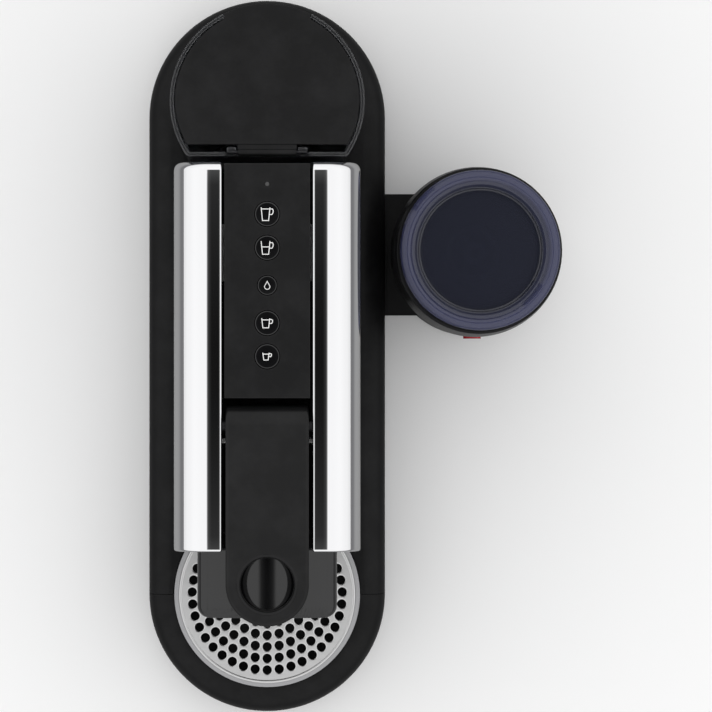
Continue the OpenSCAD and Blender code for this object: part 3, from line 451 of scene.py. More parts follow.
def clear_plastic(name, colour, roughness, transmission):
    """Tinted clear plastic. The tint is in its colour, and the grain wanders its roughness."""
    material = bpy.data.materials.new(name)
    tree, shader = tree_of(material)
    skin = use_group(tree, GRAIN, Grain_Scale=400, Roughness=roughness, Wander=0.04)
    tree.links.new(skin.outputs["Roughness"], shader.inputs["Roughness"])
    shader.inputs["Base Color"].default_value = (*colour, 1)
    shader.inputs["Transmission Weight"].default_value = transmission
    shader.inputs["IOR"].default_value = 1.49
    return material


def smoked_lid():
    """Smoked blue plastic. A mask by distance from the jug's axis gives the thick crown a lighter, bluer
    colour and less transmission than the thin disc."""
    material = bpy.data.materials.new("smoked_lid")
    tree, shader = tree_of(material)
    nodes, links = tree.nodes, tree.links
    skin = use_group(tree, GRAIN, Grain_Scale=400, Roughness=0.07, Wander=0.05)
    links.new(skin.outputs["Roughness"], shader.inputs["Roughness"])
    place = nodes.new("ShaderNodeTexCoord")
    offset = nodes.new("ShaderNodeVectorMath")
    offset.operation = "SUBTRACT"
    offset.inputs[1].default_value = (jug_x, jug_y, 0)
    flatten = nodes.new("ShaderNodeVectorMath")
    flatten.operation = "MULTIPLY"
    flatten.inputs[1].default_value = (1, 1, 0)
    reach = nodes.new("ShaderNodeVectorMath")
    reach.operation = "LENGTH"
    crown = nodes.new("ShaderNodeMapRange")
    crown.inputs["From Min"].default_value = 31 * MM
    crown.inputs["From Max"].default_value = 36 * MM
    tint = nodes.new("ShaderNodeMix")
    tint.data_type = "RGBA"
    tint.inputs["A"].default_value = (0.05, 0.055, 0.085, 1)
    tint.inputs["B"].default_value = (0.085, 0.092, 0.19, 1)
    clear = nodes.new("ShaderNodeMapRange")
    clear.inputs["To Min"].default_value = 0.66
    clear.inputs["To Max"].default_value = 0.55
    links.new(place.outputs["Object"], offset.inputs[0])
    links.new(offset.outputs[0], flatten.inputs[0])
    links.new(flatten.outputs[0], reach.inputs[0])
    links.new(reach.outputs["Value"], crown.inputs["Value"])
    links.new(crown.outputs[0], tint.inputs["Factor"])
    links.new(crown.outputs[0], clear.inputs["Value"])
    links.new(tint.outputs["Result"], shader.inputs["Base Color"])
    links.new(clear.outputs[0], shader.inputs["Transmission Weight"])
    shader.inputs["IOR"].default_value = 1.49
    return material


def lamp(name, colour, strength):
    """Lit plastic that glows through its own colour."""
    material = bpy.data.materials.new(name)
    tree, shader = tree_of(material)
    skin = use_group(tree, GRAIN, Grain_Scale=700, Roughness=0.25, Wander=0.05)
    tree.links.new(skin.outputs["Roughness"], shader.inputs["Roughness"])
    shader.inputs["Base Color"].default_value = (*colour, 1)
    shader.inputs["Emission Color"].default_value = (*colour, 1)
    shader.inputs["Emission Strength"].default_value = strength
    return material


FINISH = {
    "shell_black": plastic("shell_black", (0.0045, 0.0045, 0.0048), 0.38, relief=0.00003, specular=0.14),
    "lever_black": plastic("lever_black", (0.0065, 0.0065, 0.0068), 0.32, grain=2200, specular=0.2),
    "strip_black": plastic("strip_black", (0.0065, 0.0065, 0.0068), 0.24, grain=2600, relief=0.00001,
                           specular=0.2),
    "gloss_black": plastic("gloss_black", (0.004, 0.004, 0.0045), 0.07, grain=500, relief=0.000003,
                           wander=0.04, dust=0.004, coat=0.2),
    "inner_black": plastic("inner_black", (0.008, 0.008, 0.0085), 0.5, specular=0.25),
    "polished_chrome": chrome_plate(),
    "smoked_tank": clear_plastic("smoked_tank", (0.46, 0.47, 0.5), 0.04, 0.96),
    "lid_black": plastic("lid_black", (0.0055, 0.0055, 0.0058), 0.34, specular=0.16),
    "smoked_lid": smoked_lid(),
    "jug_black": plastic("jug_black", (0.007, 0.007, 0.0075), 0.2, grain=600, relief=0.000004,
                         wander=0.05, specular=0.12),
    "pot_coating": plastic("pot_coating", (0.02, 0.02, 0.022), 0.38, grain=900, specular=0.3),
    "steel": metal("steel", (0.62, 0.62, 0.62), 0.26),
    "ring_grey": metal("ring_grey", (0.42, 0.42, 0.43), 0.32, stretch=1.0),
    "rubber_black": plastic("rubber_black", (0.015, 0.015, 0.015), 0.7, grain=800),
    "button_red": lamp("button_red", (0.32, 0.006, 0.012), 0.12),
    "lamp_white": plastic("lamp_white", (0.05, 0.05, 0.05), 0.3),
    "blackened_steel": metal("blackened_steel", (0.035, 0.035, 0.037), 0.38),
    "board_green": plastic("board_green", (0.015, 0.1, 0.04), 0.4),
    "hose_milky": plastic("hose_milky", (0.55, 0.55, 0.5), 0.4),
    "nylon_ivory": plastic("nylon_ivory", (0.6, 0.56, 0.45), 0.45),
    "cast_aluminium": metal("cast_aluminium", (0.55, 0.55, 0.55), 0.4, stretch=1.0),
}
PRINT_WHITE = plastic("print_white", (0.82, 0.82, 0.81), 0.4, dust=0.0)
SLOT = {row["node"]: row["material_slot"] for row in frame["record"]["subparts"]}
for node_name, node_object in frame["nodes"].items():
    node_object.data.materials.clear()
    node_object.data.materials.append(FINISH[SLOT[node_name]])


# ------------------------------------------------------------------ side panels

def masked_grid(us, vs, keep):
    """Block of quads on the lines us and vs, with only the cells whose centre keep(u, v) takes."""
    us, vs = np.asarray(us, float), np.asarray(vs, float)
    u, v = np.meshgrid(us, vs, indexing="ij")
    points = np.stack([u.ravel(), v.ravel()], axis=1)
    i, j = np.meshgrid(np.arange(len(us) - 1), np.arange(len(vs) - 1), indexing="ij")
    mid = keep((us[i] + us[i + 1]) / 2, (vs[j] + vs[j + 1]) / 2)
    i, j = i[mid], j[mid]
    n = len(vs)
    quads = np.stack([i * n + j, (i + 1) * n + j, (i + 1) * n + j + 1, i * n + j + 1], axis=1)
    used, back = np.unique(quads, return_inverse=True)
    return points[used], back.reshape(quads.shape)


def everywhere(u, v):
    """Mask that keeps every cell."""
    return np.ones(u.shape, bool)


def spread(*stops):
    """Line values from (start, end, count) runs, each value once."""
    return np.unique(np.round(np.concatenate([np.linspace(a, b, n) for a, b, n in stops]), 9))


SHOULDER = 17 * MM
FRONT_CORNER = 1.2 * MM
BACK_CORNER = 4 * MM
FLANGE = 2 * MM
SHEET = 2 * MM


def panel_bend(side):
    """Bends the sheet over the head. Along u it runs flat, turns round the shoulder and goes down.
    Along v it runs flat and turns in at both ends, so that the place at angles a (round the
    shoulder) and b (round an end) is centre + (r - c (1 - cos b) - depth cos b) (sin a, cos a),
    with y = end + c (1 - sin b) + depth sin b."""
    flat_w = head_half - SHOULDER - panel_in
    turn = SHOULDER * math.pi / 2

    def bend(point, depth):
        u, v = point[:, 0], point[:, 1]
        near_front = v - head_front < head_back - v
        run = np.where(near_front, v - head_front, head_back - v)
        corner = np.where(near_front, FRONT_CORNER, BACK_CORNER)
        # the corner takes a quarter turn of sheet, and a straight flange follows it
        b = np.clip((corner - run) / corner, 0, math.pi / 2)
        beyond = np.maximum(corner * (1 - math.pi / 2) - run, 0)
        inset = corner * (1 - np.cos(b)) + beyond + depth * np.cos(b)
        rounded = corner - corner * np.sin(b) + depth * np.sin(b)
        y_run = np.where(run >= corner, run, rounded)
        y = np.where(near_front, head_front + y_run, head_back - y_run)
        a = np.clip((u - flat_w) / turn, 0, 1) * math.pi / 2
        over = np.minimum(u - flat_w, 0)
        down = np.maximum(u - flat_w - turn, 0)
        radius = SHOULDER - inset
        x = panel_in + flat_w + over + radius * np.sin(a)
        z = panel_top - SHOULDER + radius * np.cos(a) - down
        return np.stack([centre_x + side * x, y, z], axis=1)
    return bend


def side_panel(side, name, node):
    """Polished sheet over one side of the head and down one side of the column."""
    flat_w = head_half - SHOULDER - panel_in
    turn = SHOULDER * math.pi / 2
    head_low = low("head_floor")[2]
    column_y = low("column_front_cover")[1] - 0.2 * MM
    to_head = flat_w + turn + panel_top - SHOULDER - head_low
    to_deck = flat_w + turn + panel_top - SHOULDER - deck_z - 0.2 * MM
    front_bend = head_front + FRONT_CORNER * (1 - math.pi / 2)
    back_bend = head_back - BACK_CORNER * (1 - math.pi / 2)
    us = spread((0, flat_w, 5), (flat_w, flat_w + turn, 25), (flat_w + turn, to_head, 10),
                (to_head, to_deck, 14))
    vs = spread((front_bend - FLANGE, front_bend, 3), (front_bend, head_front + FRONT_CORNER, 7),
                (head_front + FRONT_CORNER, column_y, 4), (column_y, head_back - BACK_CORNER, 24),
                (head_back - BACK_CORNER, back_bend, 9), (back_bend, back_bend + FLANGE, 3))
    points, quads = masked_grid(us, vs, lambda u, v: (u < to_head) | (v > column_y))
    edge = np.where(points[:, 0] < 0.1 * MM, 0.9 * MM, 0.5 * MM)
    verts, faces = plate(points, quads, panel_bend(side), SHEET, edge, steps=5)
    return add_piece(name, verts, faces, FINISH["polished_chrome"], "machine", [node],
                     sharp=50)


side_panel(-1, "left_panel_plate", "left_side_panel")
side_panel(1, "right_panel_plate", "right_side_panel")


# ------------------------------------------------------------------ lever

def lever_arm():
    """Round-ended plate with a finger hole. Behind the shaft line the sheet turns round the knuckle:
    at angle a = (y - pivot) / r it is at pivot + (r - depth) (sin a, cos a)."""
    box_low, box_high = low("lever"), high("lever")
    half = (box_high[0] - box_low[0]) / 2
    top = box_high[2]
    knuckle = 10 * MM
    pivot = box_high[1] - knuckle
    tip = box_low[1] + half
    hole = 13 * MM
    n = 96
    angle = np.degrees(TAU) * np.arange(n) / n
    x = np.where(angle <= 45, half, np.where(angle <= 135, half * (1 - (angle - 45) / 45), -half))
    y = np.where(angle <= 45, half * angle / 45, np.where(angle <= 135, half, half * (180 - angle) / 45))
    a = np.radians(angle)
    front = angle > 180
    outer = np.stack([np.where(front, half * np.cos(a), x), tip + np.where(front, half * np.sin(a), y)], 1)
    inner = np.stack([hole * np.cos(a), tip + hole * np.sin(a)], axis=1)
    rear_x = half * np.linspace(1, -1, n // 4 + 1)
    rear_y = spread((tip + half, pivot, 12), (pivot, pivot + knuckle * math.radians(265), 40))
    left = np.stack([np.full(len(rear_y), rear_x[0]), rear_y], axis=1)
    right = np.stack([np.full(len(rear_y), rear_x[-1]), rear_y], axis=1)
    points, quads = merged_sheet([between_loops(outer, inner, 4), ruled(left, right, len(rear_x))])
    thick = top - (box_high[2] - knuckle)
    near_hole = np.hypot(points[:, 0], points[:, 1] - tip) < hole + 0.5 * MM
    edge = np.where(near_hole, 1.9 * MM, 1.5 * MM)

    def bend(point, depth):
        over = np.maximum(point[:, 1] - pivot, 0)
        turn = over / knuckle
        r = knuckle - depth * 0.97
        y_bent = np.where(over > 0, pivot + r * np.sin(turn), point[:, 1])
        z_bent = np.where(over > 0, top - knuckle + r * np.cos(turn), top - depth)
        return np.stack([centre_x + point[:, 0], y_bent, z_bent], axis=1)

    verts, faces = plate(points, quads, bend, thick, edge, 0.6 * MM, steps=6)
    return add_piece("lever_arm", verts, faces, FINISH["lever_black"], "lever_unit",
                     ["lever"], sharp=35)


lever_arm()


# ------------------------------------------------------------------ control strip and buttons

KEYS = ["button_mug_full", "button_mug_half", "button_hot_water", "button_cup_medium", "button_cup_small"]


def strip_plate():
    """Flat strip that the button caps stand in, with side skirts that go down to the board."""
    box_low, box_high = low("control_strip"), high("control_strip")
    half = (box_high[0] - box_low[0]) / 2
    top = box_high[2]
    parts = []
    # each cell reaches the strip's full width, so that neighbouring blocks share their points
    holes = []
    for key in KEYS:
        key_low, key_high = low(key), high(key)
        cap = (key_high[0] - key_low[0]) / 2 - 0.8 * MM
        holes.append(((key_low[1] + key_high[1]) / 2, cap + 0.25 * MM, 7.6 * MM))
    lamp_low, lamp_high = low("status_light"), high("status_light")
    holes.append(((lamp_low[1] + lamp_high[1]) / 2, 1.05 * MM, 4 * MM))
    for centre, radius, cell in holes:
        n = 16
        loop = box_loop(-half, half, centre - cell, centre + cell, n)
        turn = np.radians(225) + TAU * np.arange(4 * n) / (4 * n)
        ring = np.stack([radius * np.cos(turn), centre + radius * np.sin(turn)], axis=1)
        parts.append(between_loops(loop, ring, 4))
    ordered = sorted(holes)
    lines = [box_low[1]]
    for centre, radius, cell in ordered:
        lines += [centre - cell, centre + cell]
    lines.append(box_high[1])
    across = np.linspace(-half, half, 17)
    for a, b in zip(lines[::2], lines[1::2]):
        rows = np.linspace(a, b, 5)
        left = np.stack([np.full(5, -half), rows], axis=1)
        right = np.stack([np.full(5, half), rows], axis=1)
        parts.append(ruled(left, right, len(across)))
    points, quads = merged_sheet(parts)

    def lay(point, depth):
        return np.stack([centre_x + point[:, 0], point[:, 1], top - depth], axis=1)

    solids = [plate(points, quads, lay, 3 * MM, 0.35 * MM, steps=4)]
    for x0 in (-half, half - 1.6 * MM):
        flank = masked_grid(spread((x0, x0 + 1.6 * MM, 2)), spread((box_low[1], box_high[1], 12)),
                            everywhere)

        def hang(point, depth):
            return np.stack([centre_x + point[:, 0], point[:, 1], top - 2.9 * MM - depth], axis=1)

        solids.append(plate(*flank, hang, top - 3 * MM - box_low[2], 0.1 * MM, 0.3 * MM, steps=2))
    verts, faces = joined(solids)
    return add_piece("control_strip_plate", verts, faces, FINISH["strip_black"], "machine",
                     ["control_strip"], sharp=35)


CAP_EDGE = 0.5 * MM
CAP_DISH = 0.06 * MM


def key_cap(key):
    """Round cap on a collar and a stem, with a faint dish: z = top - dish (1 - (r / R)^2)."""
    key_low, key_high = low(key), high(key)
    centre = ((key_low[0] + key_high[0]) / 2, (key_low[1] + key_high[1]) / 2)
    collar = (key_high[0] - key_low[0]) / 2
    cap = collar - 0.8 * MM
    top = key_high[2]
    flat_r = cap - CAP_EDGE
    r = np.linspace(0, flat_r, 14)
    face = np.stack([r, top - CAP_DISH * (1 - (r / flat_r) ** 2)], axis=1)
    rim = np.array([[flat_r + CAP_EDGE * math.sin(a), top - CAP_EDGE * (1 - math.cos(a))]
                    for a in np.radians([15, 30, 45, 60, 75, 90])])
    collar_top = top - 3.3 * MM
    rest = np.array([[cap, collar_top], [collar, collar_top], [collar, collar_top - 1 * MM],
                     [2 * MM, collar_top - 1 * MM], [2 * MM, key_low[2]], [0, key_low[2]]])
    verts, faces = lathe(np.concatenate([face, rim, rest]), centre, 72)
    body = frame["nodes"][key]["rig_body"]
    return add_piece(key + "_cap", verts, faces, FINISH["gloss_black"], body, [key], sharp=35)


def stroke(path, width, closed):
    """Ribbon of even width along a path in the plane, with mitred corners."""
    path = np.asarray(path, float)
    n = len(path)
    if closed:
        d_in = path - np.roll(path, 1, axis=0)
        d_out = np.roll(path, -1, axis=0) - path
    else:
        steps = np.diff(path, axis=0)
        d_in = np.concatenate([steps[:1], steps])
        d_out = np.concatenate([steps, steps[-1:]])
    d_in /= np.linalg.norm(d_in, axis=1, keepdims=True)
    d_out /= np.linalg.norm(d_out, axis=1, keepdims=True)
    normal = np.stack([-(d_in + d_out)[:, 1], (d_in + d_out)[:, 0]], axis=1)
    size = np.linalg.norm(normal, axis=1, keepdims=True)
    normal = normal / size * np.minimum(2 / size, 2)
    left, right = path + normal * width / 2, path - normal * width / 2
    points = np.concatenate([left, right])
    i = np.arange(n if closed else n - 1)
    j = (i + 1) % n
    return points, np.stack([i, j, j + n, i + n], axis=1)


def cup_lines(top_w, low_w, height, handle, fill):
    """Strokes of a cup seen from the side: its walls and foot, its handle and its level line."""
    y1, y0 = height / 2, -height / 2
    shift = -handle / 2
    walls = [(shift - top_w / 2, y1), (shift - low_w / 2, y0),
             (shift + low_w / 2, y0), (shift + top_w / 2, y1)]
    handle_y = y1 - 0.12 * height
    reach = shift + top_w / 2
    loop = [(reach - 0.02 * top_w, handle_y), (reach + handle * 0.75, handle_y),
            (reach + handle, handle_y - 0.12 * height), (reach + handle * 0.9, handle_y - 0.3 * height),
            (reach + handle * 0.6, handle_y - 0.42 * height),
            (reach - 0.12 * top_w, handle_y - 0.42 * height)]
    level = y0 + fill * height
    w = low_w + (top_w - low_w) * fill
    return [(walls, False), (loop, False), ([(shift - w / 2, level), (shift + w / 2, level)], False)]


def drop_lines(w, h):
    """Outline of a drop: a circle drawn out to a point, at angle a scaled by (1 - sin a) / 2."""
    a = np.linspace(-math.pi / 2, 1.5 * math.pi, 29)[:-1]
    x = w / 2 * np.cos(a) * np.where(np.sin(a) > 0, (1 - np.sin(a)) ** 0.75, 1)
    y = np.where(np.sin(a) > 0, np.sin(a) * (h - w / 2), np.sin(a) * w / 2) - (h - w) / 2
    return [(np.stack([x, y], axis=1), True)]


def mark(key, strokes, width):
    """Printed mark on a cap, a hair above its face."""
    key_low, key_high = low(key), high(key)
    cx, cy = (key_low[0] + key_high[0]) / 2, (key_low[1] + key_high[1]) / 2
    top = key_high[2] + 0.03 * MM
    flat_r = (key_high[0] - key_low[0]) / 2 - 0.8 * MM - CAP_EDGE
    solids = []
    for path, closed in strokes:
        points, quads = stroke(np.asarray(path) * MM, width, closed)

        def lay(point, depth):
            sunk = CAP_DISH * (1 - (point ** 2).sum(axis=1) / flat_r ** 2)
            return np.stack([cx + point[:, 0], cy + point[:, 1], top - sunk - depth], axis=1)

        solids.append(plate(points, quads, lay, 0.1 * MM, 0.02 * MM, 0.01 * MM, steps=2))
    verts, faces = joined(solids)
    body = frame["nodes"][key]["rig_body"]
    return add_piece(key + "_mark", verts, faces, PRINT_WHITE, body, sharp=30)


strip_plate()
for key in KEYS:
    key_cap(key)
LINE = 0.42 * MM
mark("button_mug_full", cup_lines(4.3, 3.0, 6.4, 1.6, 0.88), LINE)
mark("button_mug_half", cup_lines(4.3, 3.0, 6.4, 1.6, 0.56), LINE)
mark("button_hot_water", drop_lines(2.7, 3.9), 0.34 * MM)
mark("button_cup_medium", cup_lines(3.9, 2.8, 4.6, 1.4, 0.84), LINE)
mark("button_cup_small", cup_lines(3.1, 2.1, 3.5, 1.2, 0.82), LINE)


# ------------------------------------------------------------------ nose

def filled_loop(x0, x1, y0, y1, r, n=12, across=10, across_x=17):
    """Flat mesh inside a round-cornered rectangle: rows whose ends follow the round corners."""
    t = np.radians(np.linspace(0, 90, n))
    rows_y = np.concatenate([y0 + r * (1 - np.cos(t)), np.linspace(y0 + r, y1 - r, across)[1:-1],
                             y1 - r * (1 - np.cos(t[::-1]))])
    inset = np.concatenate([r * (1 - np.sin(t)), np.zeros(across - 2), r * (1 - np.sin(t[::-1]))])
    left = np.stack([x0 + inset, rows_y], axis=1)
    right = np.stack([x1 - inset, rows_y], axis=1)
    return ruled(left, right, across_x)


def nose_block():
    """Glossy block under the lever's tip, with every outside edge rounded."""
    box_low, box_high = low("nose_cover"), high("nose_cover")
    half = (box_high[0] - box_low[0]) / 2
    points, quads = filled_loop(-half, half, box_low[1], box_high[1], 6 * MM, across_x=41)
    top = box_high[2]
    thick = top - box_low[2]

    def stand(point, depth):
        # crowned top: it falls by x^2 / 2R from the middle, and the fall fades out with depth
        fall = point[:, 0] ** 2 / (2 * 75 * MM) * np.maximum(1 - depth / thick, 0)
        return np.stack([centre_x + point[:, 0], point[:, 1], top - fall - depth], axis=1)

    verts, faces = plate(points, quads, stand, thick, 5 * MM, 4 * MM, steps=10)
    return add_piece("nose_block", verts, faces, FINISH["gloss_black"], "machine",
                     ["nose_cover"], sharp=60)


nose_block()


# ------------------------------------------------------------------ tank lid

TAB_HALF = 21.3 * MM
TAB_GAP = 0.4 * MM
LID_THICK = 4 * MM
LID_BACK = 3.5 * MM
LID_SHIFT = 1.3 * MM
BARREL_R = 2.1 * MM
BARREL_HALF = 14.4 * MM
EAR_IN = 15.2 * MM
TANK_WALL = 2.1 * MM


def tank_cover():
    """Round lid with a straight hinge edge and a finger tab. Rows run across it, and with s the shift
    that sets the hinge corners in, w(y) = sqrt(R^2 - max(|y|, |y - s|)^2)."""
    box_low, box_high = low("tank_lid"), high("tank_lid")
    radius = (box_high[0] - box_low[0]) / 2
    tab_r = box_high[1] - tank_y
    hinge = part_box("lid_hinge_pin")
    hinge_y, hinge_z = (hinge[0][1] + hinge[1][1]) / 2, (hinge[0][2] + hinge[1][2]) / 2
    start = hinge_y + LID_BACK - tank_y
    meet = math.sqrt(radius ** 2 - TAB_HALF ** 2)
    turn = np.linspace(math.asin(start / radius), math.asin(meet / radius), 60)
    rows = radius * np.sin(turn)
    wide = np.sqrt(radius ** 2 - np.maximum(np.abs(rows), np.abs(rows - LID_SHIFT)) ** 2)
    left, right = np.stack([-wide, tank_y + rows], 1), np.stack([wide, tank_y + rows], 1)
    columns = 25
    main = ruled(left, right, columns)
    x = np.linspace(-TAB_HALF, TAB_HALF, columns)
    far = np.sqrt(tab_r ** 2 - x ** 2)
    t = np.linspace(0, 1, 5)[:, None]
    tab_y = tank_y + meet + t * (far - meet)
    tab = np.stack([np.broadcast_to(x, tab_y.shape), tab_y], axis=-1).reshape(-1, 2)
    i = np.arange(4)[:, None] * columns + np.arange(columns - 1)[None, :]
    quads = np.stack([i, i + columns, i + columns + 1, i + 1], axis=-1).reshape(-1, 4)
    points, faces = merged_sheet([main, (tab, quads)])
    top = box_high[2]

    def lay(point, depth):
        return np.stack([centre_x + point[:, 0], point[:, 1], top - depth], axis=1)

    solids = [plate(points, faces, lay, LID_THICK, 0.7 * MM, 0.3 * MM, steps=5)]
    # barrel on the hinge pin: a tube along X, and the tongue that joins it to the lid
    n = 40
    chamfer = 0.3 * MM
    a = np.linspace(0, TAU, n, endpoint=False)
    half = BARREL_HALF
    profile = [(-half, 1.05 * MM), (-half, BARREL_R - chamfer), (-half + chamfer, BARREL_R),
               (half - chamfer, BARREL_R), (half, BARREL_R - chamfer), (half, 1.05 * MM)]
    rings = [np.stack([np.full(n, centre_x + along), hinge_y + r * np.cos(a), hinge_z + r * np.sin(a)], 1)
             for along, r in profile]
    barrel, count = np.concatenate(rings), len(rings)
    k, i = np.meshgrid(np.arange(count), np.arange(n), indexing="ij")
    j, m = (i + 1) % n, (k + 1) % count
    tube = np.stack([k * n + i, k * n + j, m * n + j, m * n + i], axis=-1).reshape(-1, 4).tolist()
    solids.append((barrel, outward(barrel, tube)))
    tongue = masked_grid(spread((-half, half, 8)), spread((hinge_y + 1.2 * MM, hinge_y + 4 * MM, 3)),
                         everywhere)

    def tongue_lay(point, depth):
        return np.stack([centre_x + point[:, 0], point[:, 1], hinge_z + BARREL_R - depth], axis=1)

    solids.append(plate(*tongue, tongue_lay, 2.9 * MM, 0.2 * MM, 0.2 * MM, steps=2))
    verts, quads = joined(solids)
    return add_piece("tank_cover_plate", verts, quads, FINISH["lid_black"], "tank_cover",
                     ["tank_lid"], sharp=35)


tank_cover()


# ------------------------------------------------------------------ water tank

def bar(x0, x1, y0, y1, z0, z1, edge=0.4 * MM):
    """Bar with rounded edges, as one flat rectangle of some depth."""
    points, quads = masked_grid(spread((x0, x1, 4)), spread((y0, y1, 4)), everywhere)

    def stand(point, depth):
        return np.stack([centre_x + point[:, 0], point[:, 1], z1 - depth], axis=1)

    return plate(points, quads, stand, z1 - z0, edge, edge, steps=4)


def tank_vessel():
    """Clear vessel. Its outline is an arc of radius R closed by a flat front, joined by small arcs.
    Each ring of the wall is that outline moved inwards by i along its normal, at a height z."""
    box_low, box_high = low("water_tank"), high("water_tank")
    radius = (box_high[0] - box_low[0]) / 2
    top = box_high[2]
    hinge_z = (low("lid_hinge_pin")[2] + high("lid_hinge_pin")[2]) / 2
    hinge_half = high("lid_hinge_pin")[0] - centre_x
    foot = deck_z - 2 * MM
    flat = box_low[1] - tank_y
    fillet = 2.5 * MM
    notch_half = TAB_HALF + TAB_GAP
    cx, cy = math.sqrt((radius - fillet) ** 2 - (flat + fillet) ** 2), flat + fillet
    turn = math.degrees(math.atan2(cy, cx))
    notch = math.degrees(math.acos(notch_half / radius))
    sweep = spread((turn, 180 - turn, 120), (notch - 0.05, notch + 0.05, 2),
                   (180 - notch - 0.05, 180 - notch + 0.05, 2))
    sweep = sweep[1:-1]
    ends = np.linspace(-90, turn, 8)
    dip = hinge_half + 1 * MM
    line = spread((-cx, cx, 14), (-dip - 0.05 * MM, -dip, 2), (dip, dip + 0.05 * MM, 2))[1:-1]
    outline, normal = [], []
    for angles, r, (ox, oy) in ((ends, fillet, (cx, cy)), (sweep, radius, (0, 0)),
                                (180 - ends[::-1], fillet, (-cx, cy))):
        a = np.radians(angles)
        normal.append(np.stack([np.cos(a), np.sin(a)], axis=1))
        outline.append(np.array([ox, oy]) + r * normal[-1])
    outline.append(np.stack([line, np.full(len(line), flat)], axis=1))
    normal.append(np.tile([0.0, -1.0], (len(line), 1)))
    outline, normal = np.concatenate(outline), np.concatenate(normal)
    n = len(outline)
    x, y = outline.T
    rim = np.where((np.abs(x) < notch_half) & (y > 0), top - LID_THICK - TAB_GAP, top)
    rim = np.where((np.abs(x) < dip + 0.01 * MM) & (y < flat + 0.01 * MM), hinge_z - 3.4 * MM, rim)
    edge, outer_r, inner_r, base = 0.7 * MM, 1.5 * MM, 2 * MM, 2.4 * MM
    quarter = np.radians(np.linspace(0, 90, 6))
    rings = [(outer_r * (1 - math.sin(a)), foot + outer_r * (1 - math.cos(a)) + 0 * rim) for a in quarter]
    rings += [(0, foot + (rim - foot) * t) for t in (0.3, 0.6, 0.85)]
    rings += [(edge * (1 - math.cos(a)), rim - edge * (1 - math.sin(a))) for a in quarter]
    rings += [(TANK_WALL - edge * (1 - math.cos(a)), rim - edge * (1 - math.sin(a)))
              for a in quarter[::-1]]
    rings += [(TANK_WALL, foot + (rim - foot) * t) for t in (0.85, 0.6, 0.3)]
    rings += [(TANK_WALL + inner_r * (1 - math.cos(a)), foot + base + inner_r * (1 - math.sin(a)) + 0 * rim)
              for a in quarter]
    verts = [np.column_stack([outline - normal * inset, z]) for inset, z in rings]
    verts = np.concatenate(verts + [[[0, 0, foot], [0, 0, foot + base]]])
    faces = []
    i = np.arange(n)
    j = (i + 1) % n
    for k in range(len(rings) - 1):
        faces += np.stack([k * n + i, k * n + j, (k + 1) * n + j, (k + 1) * n + i], axis=1).tolist()
    last = (len(rings) - 1) * n
    faces += np.stack([j, i, np.full(n, len(verts) - 2)], axis=1).tolist()
    faces += np.stack([last + i, last + j, np.full(n, len(verts) - 1)], axis=1).tolist()
    verts = verts + [centre_x, tank_y, 0]
    solids = [(verts, outward(verts, faces))]
    neck = lathe([(5 * MM, foot - 0.02 * MM), (8.6 * MM, foot - 0.02 * MM), (9 * MM, foot - 0.4 * MM),
                  (9 * MM, box_low[2] + 0.4 * MM), (8.6 * MM, box_low[2]), (5.4 * MM, box_low[2]),
                  (5 * MM, box_low[2] + 0.4 * MM)], (centre_x, tank_y), 64, closed=True)
    solids.append(neck)
    for x0 in (EAR_IN, -hinge_half):
        solids.append(bar(x0, x0 + hinge_half - EAR_IN, box_low[1] + TANK_WALL, box_low[1] + 4.4 * MM,
                          hinge_z - 6 * MM, hinge_z + 2 * MM))
    verts, faces = joined(solids)
    return add_piece("tank_vessel", verts, faces, FINISH["smoked_tank"], "tank",
                     ["water_tank"], sharp=50)


tank_vessel()


# ------------------------------------------------------------------ frother jug

